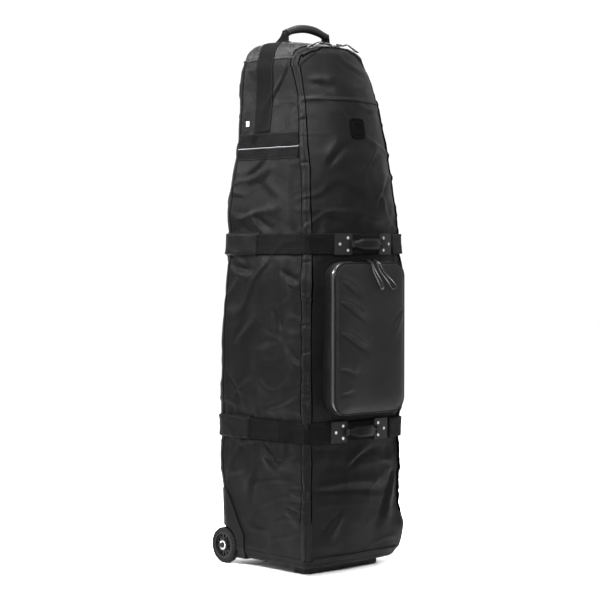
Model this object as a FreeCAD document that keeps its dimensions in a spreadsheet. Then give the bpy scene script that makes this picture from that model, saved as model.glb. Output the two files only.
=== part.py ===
import FreeCAD, Part
import math
import os
import Sketcher
from FreeCAD import Placement, Rotation, Vector

# Wheeled soft golf travel case, standing upright. Millimetres, +Z up, front towards -Y,
# +X to the right as seen from the front, origin on the floor below the middle of the case.

doc = FreeCAD.newDocument("golf_travel_case")

# ---------------------------------------------------------------- driving dimensions

SIZES = {
    # skins: distance outwards from the face of the fabric shell
    "skin_strap": -9.5, "skin_pad": -12.0, "skin_board": -8.0, "skin_inner": -5.0,
    "skin_face": 0.0, "skin_tape": 1.2, "skin_flap_in": 1.5, "skin_flap": 2.4,
    "skin_belt_in": 2.7, "skin_belt": 4.7, "skin_sleeve": 6.9, "skin_plate": 8.4,
    "rear_corner": 40.0, "front_corner": 14.0, "seam_gap": 0.4,
    # door opening
    "sill_top": 42.0, "split_back": 6.0, "zip_half": 11.0,
    "roof_seam": 1262.0, "split_top_y": 52.0, "rear_seam": 34.0, "back_flat": 112.0,
    # wheels
    "wheel_x": 153.0, "wheel_y": 164.0, "wheel_radius": 45.0, "wheel_width": 24.0,
    "rim_radius": 33.0, "bearing_radius": 11.0, "bearing_width": 7.0, "axle_radius": 4.0,
    "bearing_play": 0.03, "well_radius": 51.0, "wall": 3.0,
    "housing_inner": 120.0, "well_inner": 138.0, "housing_bottom": 12.0,
    "housing_front": 87.0, "housing_shoulder": 75.0, "housing_lean": 152.0,
    "housing_top": 188.0, "housing_back": 250.0, "boss_radius": 14.0, "nut_radius": 6.0,
    # front foot
    "foot_half": 123.0, "foot_low": -106.0, "foot_high": -46.0, "foot_height": 20.0,
    "foot_corner": 14.0,
    # belts and grab handles
    "upper_belt_z": 806.0, "lower_belt_z": 349.0, "belt_width": 51.0, "sleeve_width": 58.0,
    "upper_sleeve_y": 39.0, "lower_sleeve_y": 64.0,
    "plate_inner": 47.0, "plate_outer": 97.0, "plate_height": 52.0,
    "grab_half": 44.0, "grab_height": 26.0, "grab_neck": 12.0, "grab_shoulder": 28.0,
    "grab_thick": 6.0, "grab_bow": 15.0, "pin_radius": 2.5, "pin_play": 0.05,
    "upper_grab_y": 187.0, "lower_grab_y": 169.0,
    # pocket
    "pocket_half": 118.0, "pocket_low": 395.0, "pocket_high": 760.0, "pocket_corner": 35.0,
    "pocket_front": 194.0, "pocket_wall": 2.5, "lid_back": 194.5, "lid_edge": 198.0,
    "lid_crown": 208.0, "crown_inset": 32.0, "pocket_tape": 1.0, "pocket_tape_width": 10.0,
    # badge, side trim
    "badge_half": 24.0, "badge_low": 1063.0, "badge_high": 1113.0, "badge_corner": 9.0,
    "band_low": 1014.0, "band_high": 1081.0, "piping_z": 1043.0,
    "webbing_front": 20.0, "webbing_rear": 80.0,
    # top handle
    "handle_y": 32.0, "handle_z": 1331.0, "handle_rise": 15.5, "grip_half": 68.0,
    "grip_radius": 10.5, "tab_thick": 3.5, "tab_half": 22.0,
    # zip sliders and cord pulls
    "slider_long": 12.0, "slider_short": 9.0, "slider_wide": 11.0, "slider_high": 4.0,
    "slider_lift": 1.5, "pull_long": 14.0, "pull_wide": 8.0, "pull_thick": 3.4,
    "pull_pin": 0.8, "pull_rise": 7.5, "cord_radius": 1.6,
}

# Levels of the lofted body: name, height, half width, front edge, rear face, front bulge
LEVELS = [
    ("sill", 20.0, 152.0, 128.0, 164.0, 14.0),
    ("base", 46.0, 160.0, 142.0, 184.0, 14.0),
    ("hip", 344.0, 158.0, 144.0, 200.0, 14.0),
    ("belly", 560.0, 164.0, 147.0, 193.0, 18.0),
    ("waist", 806.0, 155.0, 144.0, 181.0, 34.0),
    ("chest", 985.0, 145.0, 126.0, 168.0, 48.0),
    ("yoke", 1155.0, 127.0, 91.0, 162.0, 48.0),
    ("brow", 1240.0, 119.0, 65.0, 157.0, 41.0),
    ("eaves", 1282.0, 108.0, 50.0, 146.0, 38.0),
    ("roof", 1300.0, 84.0, 26.0, 118.0, 26.0),
]
for level, high, half, front, rear, bulge in LEVELS:
    SIZES.update({level + "_high": high, level + "_half": half, level + "_front": front,
                  level + "_rear": rear, level + "_bulge": bulge})

sheet = doc.addObject("Spreadsheet::Sheet", "Sizes")
for row, (alias, number) in enumerate(SIZES.items(), 1):
    sheet.set(f"A{row}", alias)
    sheet.set(f"B{row}", str(number))
    sheet.setAlias(f"B{row}", alias)
doc.recompute()

NODES = []


def bind(thing, prop, text):
    """Set an expression in which every bare word that is a cell of the sheet is read from it."""
    word, out = "", ""
    for sign in text + " ":
        if sign.isalnum() or sign == "_":
            word += sign
            continue
        out += ("Sizes." + word if word in SIZES else word) + sign
        word = ""
    thing.setExpression(prop, out.strip())


def node(thing, name):
    """Mark an object of the document as one finished sub-part."""
    thing.Label = name
    NODES.append(thing)
    return thing


# ---------------------------------------------------------------- small builders

def box(name, x, y, z):
    """Box between pairs of expressions."""
    thing = doc.addObject("Part::Box", name)
    for axis, side, (low, high) in (("x", "Length", x), ("y", "Width", y), ("z", "Height", z)):
        bind(thing, side, f"({high}) - ({low})")
        bind(thing, "Placement.Base." + axis, low)
    return thing


def rod(name, radius, low, high, y, z):
    """Cylinder along X between two expressions."""
    thing = doc.addObject("Part::Cylinder", name)
    thing.Placement = Placement(Vector(), Rotation(Vector(0, 1, 0), 90))
    bind(thing, "Radius", radius)
    bind(thing, "Height", f"({high}) - ({low})")
    for axis, text in (("x", low), ("y", y), ("z", z)):
        bind(thing, "Placement.Base." + axis, text)
    return thing


def boolean(kind, name, base, tool):
    thing = doc.addObject(kind, name)
    thing.Base, thing.Tool = base, tool
    return thing


def cut(name, base, tool):
    return boolean("Part::Cut", name, base, tool)


def common(name, base, tool):
    return boolean("Part::Common", name, base, tool)


def fuse(name, things):
    thing = doc.addObject("Part::MultiFuse", name)
    thing.Shapes = things
    return thing


def group(name, things):
    """Several separate solids kept as one object."""
    thing = doc.addObject("Part::Compound", name)
    thing.Links = things
    return thing


def new_body(name):
    return doc.addObject("PartDesign::Body", name)


def new_sketch(body, name, role, lift="0"):
    """Sketch on one of the body's origin planes, moved along the plane's normal."""
    sketch = body.newObject("Sketcher::SketchObject", name)
    plane = [p for p in body.Origin.OriginFeatures if p.Role == role][0]
    sketch.AttachmentSupport = [(plane, "")]
    sketch.MapMode = "FlatFace"
    bind(sketch, "AttachmentOffset.Base.z", lift)
    return sketch


def pin_value(sketch, name, kind, place, start, text):
    """Named constraint whose value comes from the sheet."""
    index = sketch.addConstraint(Sketcher.Constraint(kind, *place, start))
    sketch.renameConstraint(index, name)
    bind(sketch, "Constraints." + name, text)


def polygon(sketch, corners):
    """Closed outline of straight lines with every corner placed by two expressions."""
    count = len(corners)
    ring = [Vector(10 * math.cos(6.28 * i / count), 10 * math.sin(6.28 * i / count), 0)
            for i in range(count)]
    for i in range(count):
        sketch.addGeometry(Part.LineSegment(ring[i], ring[(i + 1) % count]))
    for i in range(count):
        sketch.addConstraint(Sketcher.Constraint("Coincident", i, 2, (i + 1) % count, 1))
    for i, (across, up) in enumerate(corners):
        pin_value(sketch, f"a{i}", "DistanceX", (i, 1), ring[i].x, across)
        pin_value(sketch, f"u{i}", "DistanceY", (i, 1), ring[i].y, up)


def circle(sketch, radius, across="0", up="0"):
    index = sketch.addGeometry(Part.Circle(Vector(1, 1, 0), Vector(0, 0, 1), 5))
    pin_value(sketch, f"r{index}", "Radius", (index,), 5, radius)
    pin_value(sketch, f"a{index}", "DistanceX", (index, 3), 1, across)
    pin_value(sketch, f"u{index}", "DistanceY", (index, 3), 1, up)


def rounded_rectangle(sketch, half, low, high, corner, grow=0.0):
    """Rectangle with round corners; half, low, high and corner are cell names."""
    w, z0, z1 = SIZES[half] + grow, SIZES[low] - grow, SIZES[high] + grow
    r = SIZES[corner] + grow
    quarter = math.pi / 2
    spots = [(w - r, z1 - r), (r - w, z1 - r), (r - w, z0 + r), (w - r, z0 + r)]
    ends = [((w, z0 + r), (w, z1 - r)), ((w - r, z1), (r - w, z1)),
            ((-w, z1 - r), (-w, z0 + r)), ((r - w, z0), (w - r, z0))]
    for i in range(4):
        sketch.addGeometry(Part.LineSegment(Vector(*ends[i][0], 0), Vector(*ends[i][1], 0)))
        round_part = Part.Circle(Vector(*spots[i], 0), Vector(0, 0, 1), r)
        sketch.addGeometry(Part.ArcOfCircle(round_part, i * quarter, (i + 1) * quarter))
    for i in range(8):
        sketch.addConstraint(Sketcher.Constraint("Tangent", i, 2, (i + 1) % 8, 1))
    for line, kind in ((0, "Vertical"), (2, "Horizontal"), (4, "Vertical"), (6, "Horizontal")):
        sketch.addConstraint(Sketcher.Constraint(kind, line))
    for arc in (1, 3, 5, 7):
        pin_value(sketch, f"r{arc}", "Radius", (arc,), r, f"{corner} + {grow}")
    pin_value(sketch, "right", "DistanceX", (0, 1), w, f"{half} + {grow}")
    pin_value(sketch, "left", "DistanceX", (4, 1), -w, f"0 - {half} - {grow}")
    pin_value(sketch, "top", "DistanceY", (2, 1), z1, f"{high} + {grow}")
    pin_value(sketch, "bottom", "DistanceY", (6, 1), z0, f"{low} - {grow}")


def pad(body, name, sketch, length, midplane=False):
    feature = body.newObject("PartDesign::Pad", name)
    feature.Profile = sketch
    bind(feature, "Length", length)
    feature.Midplane = midplane
    return feature


def pocket_through(body, name, sketch, length):
    feature = body.newObject("PartDesign::Pocket", name)
    feature.Profile = sketch
    bind(feature, "Length", length)
    feature.Midplane = True
    return feature


def revolve(body, name, sketch):
    """Full turn about the sketch's own X axis."""
    feature = body.newObject("PartDesign::Revolution", name)
    feature.Profile = sketch
    feature.ReferenceAxis = (sketch, ["H_Axis"])
    feature.Angle = 360
    return feature


def place(thing, x, y, z):
    for axis, text in (("x", x), ("y", y), ("z", z)):
        bind(thing, "Placement.Base." + axis, text)


# ---------------------------------------------------------------- lofted skins of the case

def section(body, level, skin):
    """Outline at one level: straight sides and back, bulging front, all corners tangent arcs."""
    high, half, front, rear, bulge = (SIZES[f"{level}_{p}"] for p in
                                      ("high", "half", "front", "rear", "bulge"))
    grow = SIZES[skin]
    arc = (half * half + bulge * bulge) / (2 * bulge)
    centre = arc - front - bulge
    r_rear, r_front = SIZES["rear_corner"], SIZES["front_corner"]
    turn_y = centre - math.sqrt((arc - r_front) ** 2 - (half - r_front) ** 2)
    lean = math.atan2(turn_y - centre, half - r_front)
    full = 2 * math.pi
    side, back = half + grow, rear + grow

    def bend(x, y, radius, start, end):
        ring = Part.Circle(Vector(x, y, 0), Vector(0, 0, 1), radius + grow)
        sketch.addGeometry(Part.ArcOfCircle(ring, start, end))

    sketch = new_sketch(body, f"{body.Name}_{level}", "XY_Plane", level + "_high")
    sketch.addGeometry(Part.LineSegment(Vector(side, turn_y, 0), Vector(side, rear - r_rear, 0)))
    bend(half - r_rear, rear - r_rear, r_rear, 0, math.pi / 2)
    sketch.addGeometry(Part.LineSegment(Vector(half - r_rear, back, 0), Vector(r_rear - half, back, 0)))
    bend(r_rear - half, rear - r_rear, r_rear, math.pi / 2, math.pi)
    sketch.addGeometry(Part.LineSegment(Vector(-side, rear - r_rear, 0), Vector(-side, turn_y, 0)))
    bend(r_front - half, turn_y, r_front, math.pi, math.pi - lean)
    bend(0, centre, arc, math.pi - lean, full + lean)
    bend(half - r_front, turn_y, r_front, full + lean, full)
    for i in range(8):
        sketch.addConstraint(Sketcher.Constraint("Tangent", i, 2, (i + 1) % 8, 1))
    for line, kind in ((0, "Vertical"), (2, "Horizontal"), (4, "Vertical")):
        sketch.addConstraint(Sketcher.Constraint(kind, line))
    arc_text = f"({level}_half^2 + {level}_bulge^2) / (2 * {level}_bulge)"
    for i, radius, text in ((1, r_rear, "rear_corner"), (3, r_rear, "rear_corner"),
                            (5, r_front, "front_corner"), (7, r_front, "front_corner"),
                            (6, arc, arc_text)):
        pin_value(sketch, f"r{i}", "Radius", (i,), radius + grow, f"{text} + {skin}")
    pin_value(sketch, "right", "DistanceX", (0, 1), side, f"{level}_half + {skin}")
    pin_value(sketch, "left", "DistanceX", (4, 1), -side, f"0 - {level}_half - {skin}")
    pin_value(sketch, "back", "DistanceY", (2, 1), back, f"{level}_rear + {skin}")
    pin_value(sketch, "centre", "DistanceY", (6, 3), centre,
              f"{arc_text} - {level}_front - {level}_bulge")
    sketch.addConstraint(Sketcher.Constraint("DistanceX", 6, 3, 0))
    return sketch


def skin_solid(skin):
    """Closed loft through every level, its floor and roof moved out with the skin."""
    body = new_body(skin + "_solid")
    sketches = [section(body, level[0], skin) for level in LEVELS]
    bind(sketches[0], "AttachmentOffset.Base.z", f"{LEVELS[0][0]}_high - {skin}")
    bind(sketches[-1], "AttachmentOffset.Base.z", f"{LEVELS[-1][0]}_high + {skin}")
    loft = body.newObject("PartDesign::AdditiveLoft", skin + "_loft")
    loft.Profile = sketches[0]
    loft.Sections = sketches[1:]
    loft.Ruled = True
    return body


SKINS = {name: skin_solid("skin_" + name) for name in
         ("strap", "pad", "board", "inner", "face", "tape", "flap_in", "flap",
          "belt_in", "belt", "sleeve", "plate")}


def layer(name, inner, outer):
    """Hollow layer between two skins."""
    return cut(name, SKINS[outer], SKINS[inner])


def side_profile(name, back):
    """Prism across the case in front of the zip line, moved back by an expression."""
    body = new_body(name)
    sketch = new_sketch(body, name + "_outline", "YZ_Plane")
    line = [(f"split_back - {level}_front + {back}", f"{level}_high")
            for level in ("base", "hip", "belly", "waist", "chest", "yoke", "brow")]
    line[0] = (line[0][0], f"sill_top - ({back})")
    top = [(f"0 - split_top_y + {back}", "roof_seam"),
           (f"0 - split_top_y - 40 + {back}", "roof_seam + 80"), ("-400", "roof_seam + 80")]
    polygon(sketch, [("-400", f"sill_top - ({back})")] + line + top)
    pad(body, name + "_pad", sketch, "600", midplane=True)
    return body


door_side = side_profile("door_side", "0")
shell_front = side_profile("shell_front", "seam_gap")
zip_back = side_profile("zip_back", "zip_half")
zip_front = side_profile("zip_front", "0 - zip_half")


def behind_rear_seam():
    """Prism behind the vertical seams that join the sides to the back."""
    body = new_body("rear_zone")
    sketch = new_sketch(body, "rear_zone_outline", "YZ_Plane")
    line = [(f"{level}_rear - rear_seam", f"{level}_high")
            for level in ("base", "hip", "belly", "waist", "chest", "yoke", "brow")]
    line[0] = (line[0][0], "0")
    polygon(sketch, line + [("brow_rear - rear_seam", "roof_seam"), ("400", "roof_seam"),
                            ("400", "0")])
    pad(body, "rear_zone_pad", sketch, "600", midplane=True)
    return body


rear_zone = behind_rear_seam()


# ---------------------------------------------------------------- wheel housings

HOUSING = [("housing_front", "housing_bottom"), ("housing_front", "housing_shoulder"),
           ("housing_lean", "housing_top"), ("housing_back", "housing_top"),
           ("housing_back", "housing_bottom")]
HOUSING_HOLLOW = [("housing_front + wall", "housing_bottom + wall"),
                  ("housing_front + wall", "housing_shoulder - 1"),
                  ("housing_lean + 1", "housing_top - wall"), ("housing_back", "housing_top - wall"),
                  ("housing_back", "housing_bottom + wall")]


def housing_block(name, corners, inner, outer):
    body = new_body(name)
    sketch = new_sketch(body, name + "_outline", "YZ_Plane", inner)
    polygon(sketch, corners)
    pad(body, name + "_pad", sketch, f"({outer}) - ({inner})")
    return body


def wheel_housing(side, sign):
    """Moulded corner shell with a wheel arch, an inner wall and an axle boss."""
    def span(low, high):
        return (low, high) if sign > 0 else (f"0 - ({high})", f"0 - ({low})")

    block = housing_block(side + "_block", HOUSING, *span("housing_inner", "175"))
    trimmed = common(side + "_block_trimmed", block, SKINS["flap"])
    hollow = common(side + "_hollow", SKINS["inner"],
                    housing_block(side + "_hollow_block", HOUSING_HOLLOW,
                                  *span("housing_inner - 5", "175")))
    rim = rod(side + "_arch_rim", "well_radius + wall", *span("well_inner - wall", "190"),
              "wheel_y", "wheel_radius")
    boss = rod(side + "_boss", "boss_radius", *span("well_inner - wall - 5", "190"), "wheel_y", "wheel_radius")
    hollow_tool = cut(side + "_hollow_tool", hollow, fuse(side + "_keep", [rim, boss]))
    well = rod(side + "_well", "well_radius", *span("well_inner", "190"), "wheel_y", "wheel_radius")
    nut_room = rod(side + "_nut_room", "nut_radius + 1", *span("110", "well_inner - wall - 5"),
                   "wheel_y", "wheel_radius")
    bore = rod(side + "_bore", "axle_radius", *span("100", "190"), "wheel_y", "wheel_radius")
    tools = fuse(side + "_housing_tools", [hollow_tool, well, bore, nut_room])
    node(cut(side + "_housing", trimmed, tools), side + "_wheel_housing")
    return block


housing_blocks = fuse("housing_blocks", [wheel_housing("left", -1), wheel_housing("right", 1)])

# ---------------------------------------------------------------- fabric panels

wall_layer = layer("wall_layer", "inner", "face")
shell_wall = cut("shell_wall", cut("shell_wall_whole", wall_layer, shell_front), housing_blocks)
node(common("front_panel", wall_layer, door_side), "front_panel")

ANY = ("-400", "400")
floor_zone = box("floor_zone", ANY, ANY, ("0", "sill_top"))
top_zone = box("top_zone", ANY, ANY, ("roof_seam", "1400"))
middle_wall = cut("middle_wall", shell_wall, fuse("floor_and_top", [floor_zone, top_zone]))
node(common("base_cloth", shell_wall, floor_zone), "base_panel")
node(common("roof_cloth", shell_wall, top_zone), "roof_panel")
back_wall = common("back_wall", middle_wall, rear_zone)
flat_back = box("flat_back", ("0 - back_flat", "back_flat"), ANY, ("0", "1400"))
node(common("back_cloth", back_wall, flat_back), "back_panel")
node(cut("corner_cloth", back_wall, flat_back), "rear_corner_panels")
side_wall = cut("side_wall", middle_wall, rear_zone)
left_zone = box("left_zone", ("-400", "0"), ANY, ("0", "1400"))
right_zone = box("right_zone", ("0", "400"), ANY, ("0", "1400"))
node(common("left_cloth", side_wall, left_zone), "left_side_panel")
node(common("right_cloth", side_wall, right_zone), "right_side_panel")

# Stiff boards, head padding and the two inner straps
board_layer = layer("board_layer", "board", "inner")
back_zone = box("back_zone", ("-112", "112"), ("114", "400"), ("60", "970"))
node(common("back_stiffener", board_layer, back_zone), "back_board")
node(box("floor_board", ("-116", "116"), ("-114", "139"),
         ("sill_high + 5", "sill_high + 9")), "base_board")
pad_layer = cut("pad_layer", layer("pad_layer_whole", "pad", "inner"), shell_front)
hood_zone = box("hood_zone", ANY, ("-46", "400"), ("985", "1250"))
node(common("hood_liner", pad_layer, hood_zone), "hood_padding")

strap_layer = layer("strap_layer", "strap", "board")


def inner_strap(name, middle):
    zone = box(name + "_zone", ANY, ("-46", "400"), (f"{middle} - 12.5", f"{middle} + 12.5"))
    return common(name, strap_layer, zone)


def inner_buckle(name, sign, middle, long):
    """Half of a side-release buckle on the free end of an inner strap."""
    low, high = (145, 151) if middle == "470" else (134, 140)
    x = sorted((sign * low, sign * high))
    return box(name, (str(x[0]), str(x[1])), (str(-46 - long), "-46"),
               (f"{middle} - 16", f"{middle} + 16"))


node(group("strap_pair", [inner_strap("strap_low", "470"), inner_strap("strap_high", "900")]),
     "inner_straps")
node(group("buckle_set", [inner_buckle("buckle_a", -1, "470", 30), inner_buckle("buckle_b", 1, "470", 36),
                          inner_buckle("buckle_c", -1, "900", 30), inner_buckle("buckle_d", 1, "900", 36)]),
     "inner_buckles")

# ---------------------------------------------------------------- main zip and storm flaps

tape_layer = layer("tape_layer", "face", "tape")
shell_tape = cut("shell_tape_whole", common("shell_tape_wide", tape_layer, zip_back), shell_front)
node(cut("shell_tape", shell_tape, housing_blocks), "main_zip_shell_tape")
node(cut("door_tape", common("door_tape_wide", tape_layer, door_side), zip_front),
     "main_zip_door_tape")
flap_layer = layer("flap_layer", "flap_in", "flap")
flap_band = cut("flap_band", common("flap_wide", flap_layer, zip_back), zip_front)
node(common("flap_pair", flap_band, box("flap_zone", ANY, ANY, ("135", "1165"))), "storm_flaps")

# ---------------------------------------------------------------- belts, plates, rivets, grab handles

belt_layer = layer("belt_layer", "belt_in", "belt")
plate_layer = layer("plate_layer", "belt", "plate")
sleeve_layer = layer("sleeve_layer", "face", "sleeve")


def plates(level, middle):
    """Left and right moulded plates that hold the grab handle on the belt."""
    made = []
    for sign in (-1, 1):
        low, high = ("plate_inner", "plate_outer") if sign > 0 else ("0 - plate_outer",
                                                                    "0 - plate_inner")
        zone = box(f"{level}_plate_zone{sign}", (low, high), ("-400", "0"),
                   (f"{middle} - plate_height / 2", f"{middle} + plate_height / 2"))
        made.append(common(f"{level}_plate{sign}", plate_layer, zone))
    return made


def rivets(level, middle):
    """Three rivets through each plate, standing square to the bulging front."""
    half, bulge = SIZES[level + "_half"], SIZES[level + "_bulge"]
    arc = (half * half + bulge * bulge) / (2 * bulge)
    made = []
    for sign in (-1, 1):
        for out, up in ((82, 0), (60, 15), (60, -15)):
            turn = math.degrees(math.asin(out / arc)) * sign
            shank = doc.addObject("Part::Cylinder", f"{level}_shank")
            head = doc.addObject("Part::Cylinder", f"{level}_head")
            reach = arc + SIZES["skin_belt_in"]
            away = Vector(math.sin(math.radians(turn)), -math.cos(math.radians(turn)), 0)
            centre = Vector(0, arc - SIZES[level + "_front"] - bulge, SIZES[middle] + up)
            shank.Radius, shank.Height = 1.6, 6.0
            head.Radius, head.Height = 3.6, 1.2
            tilt = Rotation(Vector(0, 0, 1), away)
            shank.Placement = Placement(centre + away * reach, tilt)
            head.Placement = Placement(centre + away * (arc + SIZES["skin_plate"] - 0.1), tilt)
            made.append(fuse(f"{level}_rivet", [shank, head]))
    return made


def grab_handle(level, middle, axis_y):
    """Bowed, padded handle that hangs from a pin at each plate."""
    name = level + "_grab"
    bow = new_body(name + "_bow")
    sketch = new_sketch(bow, name + "_bow_outline", "XY_Plane")
    half, rise, thick = SIZES["grab_half"], SIZES["grab_bow"], SIZES["grab_thick"]
    y0 = -SIZES[axis_y]
    radius = (half * half + rise * rise) / (2 * rise)
    middle_y = y0 - rise + radius
    spread = math.asin(half / radius)
    down = -math.pi / 2
    for r in (radius + thick / 2, radius - thick / 2):
        ring = Part.Circle(Vector(0, middle_y, 0), Vector(0, 0, 1), r)
        sketch.addGeometry(Part.ArcOfCircle(ring, down - spread, down + spread))
    outer, inner = sketch.Geometry
    sketch.addGeometry(Part.LineSegment(outer.EndPoint, inner.EndPoint))
    sketch.addGeometry(Part.LineSegment(inner.StartPoint, outer.StartPoint))
    for a, b, c, d in ((0, 2, 2, 1), (2, 2, 1, 2), (1, 1, 3, 1), (3, 2, 0, 1), (0, 3, 1, 3)):
        sketch.addConstraint(Sketcher.Constraint("Coincident", a, b, c, d))
    radius_text = "(grab_half^2 + grab_bow^2) / (2 * grab_bow)"
    pin_value(sketch, "outer", "Radius", (0,), radius + thick / 2, f"{radius_text} + grab_thick / 2")
    pin_value(sketch, "inner", "Radius", (1,), radius - thick / 2, f"{radius_text} - grab_thick / 2")
    sketch.addConstraint(Sketcher.Constraint("DistanceX", 0, 3, 0))
    pin_value(sketch, "centre", "DistanceY", (0, 3), middle_y,
              f"{radius_text} - grab_bow - {axis_y}")
    pin_value(sketch, "right", "DistanceX", (0, 2), half, "grab_half")
    pin_value(sketch, "left", "DistanceX", (0, 1), -half, "0 - grab_half")
    pin_value(sketch, "right_in", "DistanceX", (1, 2), inner.EndPoint.x, "grab_half")
    pin_value(sketch, "left_in", "DistanceX", (1, 1), inner.StartPoint.x, "0 - grab_half")
    pad(bow, name + "_bow_pad", sketch, "grab_height", midplane=True)
    bind(bow, "Placement.Base.z", middle)
    face = new_body(name + "_face")
    sketch = new_sketch(face, name + "_face_outline", "XZ_Plane")
    right = [("grab_half + 1", "grab_neck / 2"), ("grab_shoulder", "grab_height / 2")]
    rim = right + [(f"0 - ({x})", z) for x, z in reversed(right)]
    rim += [(x, f"0 - ({z})") for x, z in reversed(rim)]
    polygon(sketch, [(x, f"{middle} + ({z})") for x, z in rim])
    pad(face, name + "_face_pad", sketch, "600", midplane=True)
    shaped = common(name + "_shaped", bow, face)
    holes = [rod(f"{name}_hole{sign}", "pin_radius + pin_play",
                 *(("grab_half - 11", "60") if sign > 0 else ("-60", "11 - grab_half")),
                 f"0 - {axis_y}", middle) for sign in (-1, 1)]
    return cut(name, shaped, fuse(name + "_holes", holes))


def grab_mounts(level, middle, axis_y):
    """Lug that stands on each plate and the pin it carries."""
    lugs, pins = [], []
    for sign in (-1, 1):
        lug = ("plate_inner", "plate_inner + 10") if sign > 0 else ("0 - plate_inner - 10",
                                                                   "0 - plate_inner")
        pin = ("grab_half - 10", "plate_inner + 9") if sign > 0 else ("0 - plate_inner - 9",
                                                                      "10 - grab_half")
        lugs.append(box(f"{level}_lug{sign}", lug, (f"0 - {axis_y} - 5", f"0 - {axis_y} + 7"),
                        (f"{middle} - 8", f"{middle} + 8")))
        pins.append(rod(f"{level}_pin{sign}", "pin_radius", *pin, f"0 - {axis_y}", middle))
    return lugs, pins


all_rivets, all_pins, all_plates, sleeves = [], [], [], []
for level, row in (("waist", "upper"), ("hip", "lower")):
    middle, axis_y = row + "_belt_z", row + "_grab_y"
    zone = box(row + "_belt_zone", ANY, ANY,
               (f"{middle} - belt_width / 2", f"{middle} + belt_width / 2"))
    belt = common(row + "_belt_whole", belt_layer, zone)
    shell_belt = cut(row + "_shell_belt", belt, shell_front)
    node(shell_belt, row + "_belt")
    studs = rivets(level, middle)
    lugs, pins = grab_mounts(level, middle, axis_y)
    stud_set = group(row + "_studs", studs)
    door_belt = cut(row + "_front_webbing", common(row + "_webbing", belt, door_side), stud_set)
    node(door_belt, row + "_front_belt")
    pair = plates(level, middle)
    with_lugs = [cut(f"{row}_plate_trim{i}", fuse(f"{row}_plate_lug{i}", [pair[i], lugs[i]]),
                     SKINS["belt"]) for i in (0, 1)]
    tools = fuse(row + "_plate_holes", studs + pins)
    all_plates += [cut(f"{row}_plate_done{i}", with_lugs[i], tools) for i in (0, 1)]
    all_rivets += studs
    all_pins += pins
    node(grab_handle(level, middle, axis_y), row + "_grab_handle")
    zone = box(row + "_sleeve_zone", ANY, (row + "_sleeve_y", "400"),
               (f"{middle} - sleeve_width / 2", f"{middle} + sleeve_width / 2"))
    sleeves.append(cut(row + "_sleeve", common(row + "_sleeve_wide", sleeve_layer, zone), shell_belt))
node(group("plate_set", all_plates), "belt_plates")
node(group("rivet_set", all_rivets), "belt_rivets")
node(group("grab_pin_set", all_pins), "grab_handle_pins")
node(group("sleeve_set", sleeves), "belt_sleeves")


# ---------------------------------------------------------------- front pocket

def pocket_ring(name, outer, inner, near, far):
    """Band that follows the pocket's rounded outline between two distances from the middle plane."""
    body = new_body(name)
    sketch = new_sketch(body, name + "_outside", "XZ_Plane", near)
    rounded_rectangle(sketch, "pocket_half", "pocket_low", "pocket_high", "pocket_corner", outer)
    pad(body, name + "_pad", sketch, f"({far}) - ({near})")
    sketch = new_sketch(body, name + "_inside", "XZ_Plane", near)
    rounded_rectangle(sketch, "pocket_half", "pocket_low", "pocket_high", "pocket_corner", inner)
    pocket_through(body, name + "_hole", sketch, "200")
    return body


wall = SIZES["pocket_wall"]
gusset = pocket_ring("gusset_ring", 0.0, -wall, "126", "pocket_front")
node(cut("gusset_on_panel", gusset, SKINS["face"]), "pocket_gusset")
node(pocket_ring("gusset_tape", SIZES["pocket_tape"], 0.0, "pocket_front - pocket_tape_width",
                 "pocket_front"), "pocket_zip_tape")
node(pocket_ring("lid_rim", 1.2, 0.0, "lid_back + 0.6", "lid_edge"), "pocket_piping")


def pocket_lid():
    """Flat-backed front of the pocket with a shallow crown."""
    body = new_body("lid")
    sketches = []
    for i, (lift, inset) in enumerate((("lid_back", 0.0), ("lid_edge", 0.0),
                                       ("lid_crown", -SIZES["crown_inset"]))):
        sketch = new_sketch(body, f"lid_section{i}", "XZ_Plane", lift)
        rounded_rectangle(sketch, "pocket_half", "pocket_low", "pocket_high", "pocket_corner", inset)
        sketches.append(sketch)
    loft = body.newObject("PartDesign::AdditiveLoft", "lid_loft")
    loft.Profile = sketches[0]
    loft.Sections = sketches[1:]
    loft.Ruled = True
    return body


node(pocket_lid(), "pocket_lid")

# ---------------------------------------------------------------- badge and side trim

badge_block = new_body("badge_block")
badge_outline = new_sketch(badge_block, "badge_outline", "XZ_Plane")
rounded_rectangle(badge_outline, "badge_half", "badge_low", "badge_high", "badge_corner")
pad(badge_block, "badge_pad", badge_outline, "400")
node(common("badge_plate", layer("badge_layer", "face", "flap"), badge_block), "front_badge")

trim_tools = fuse("trim_tools", [zip_back, rear_zone])
band_zone = box("band_zone", ANY, ANY, ("band_low", "band_high"))
node(cut("band_pair", common("band_wide", tape_layer, band_zone), trim_tools), "side_bands")
bead_zone = box("bead_zone", ANY, ANY, ("piping_z - 1.5", "piping_z + 1.5"))
outer_trim = layer("outer_trim", "tape", "flap")
node(cut("bead_pair", common("bead_wide", outer_trim, bead_zone), trim_tools), "reflective_piping")
strap_zone = box("strap_zone", ANY, ("webbing_front", "webbing_rear"), ("band_high", "1400"))
roof_middle = box("roof_middle", ("-72", "72"), ANY, ("0", "1400"))
node(cut("strap_sides", common("strap_wide", tape_layer, strap_zone), roof_middle), "side_webbing")
tag_zone = box("tag_zone", ("-400", "0"), ("98", "108"), ("1096", "1114"))
node(common("tag_plate", tape_layer, tag_zone), "side_tag")

# ---------------------------------------------------------------- top handle

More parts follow.
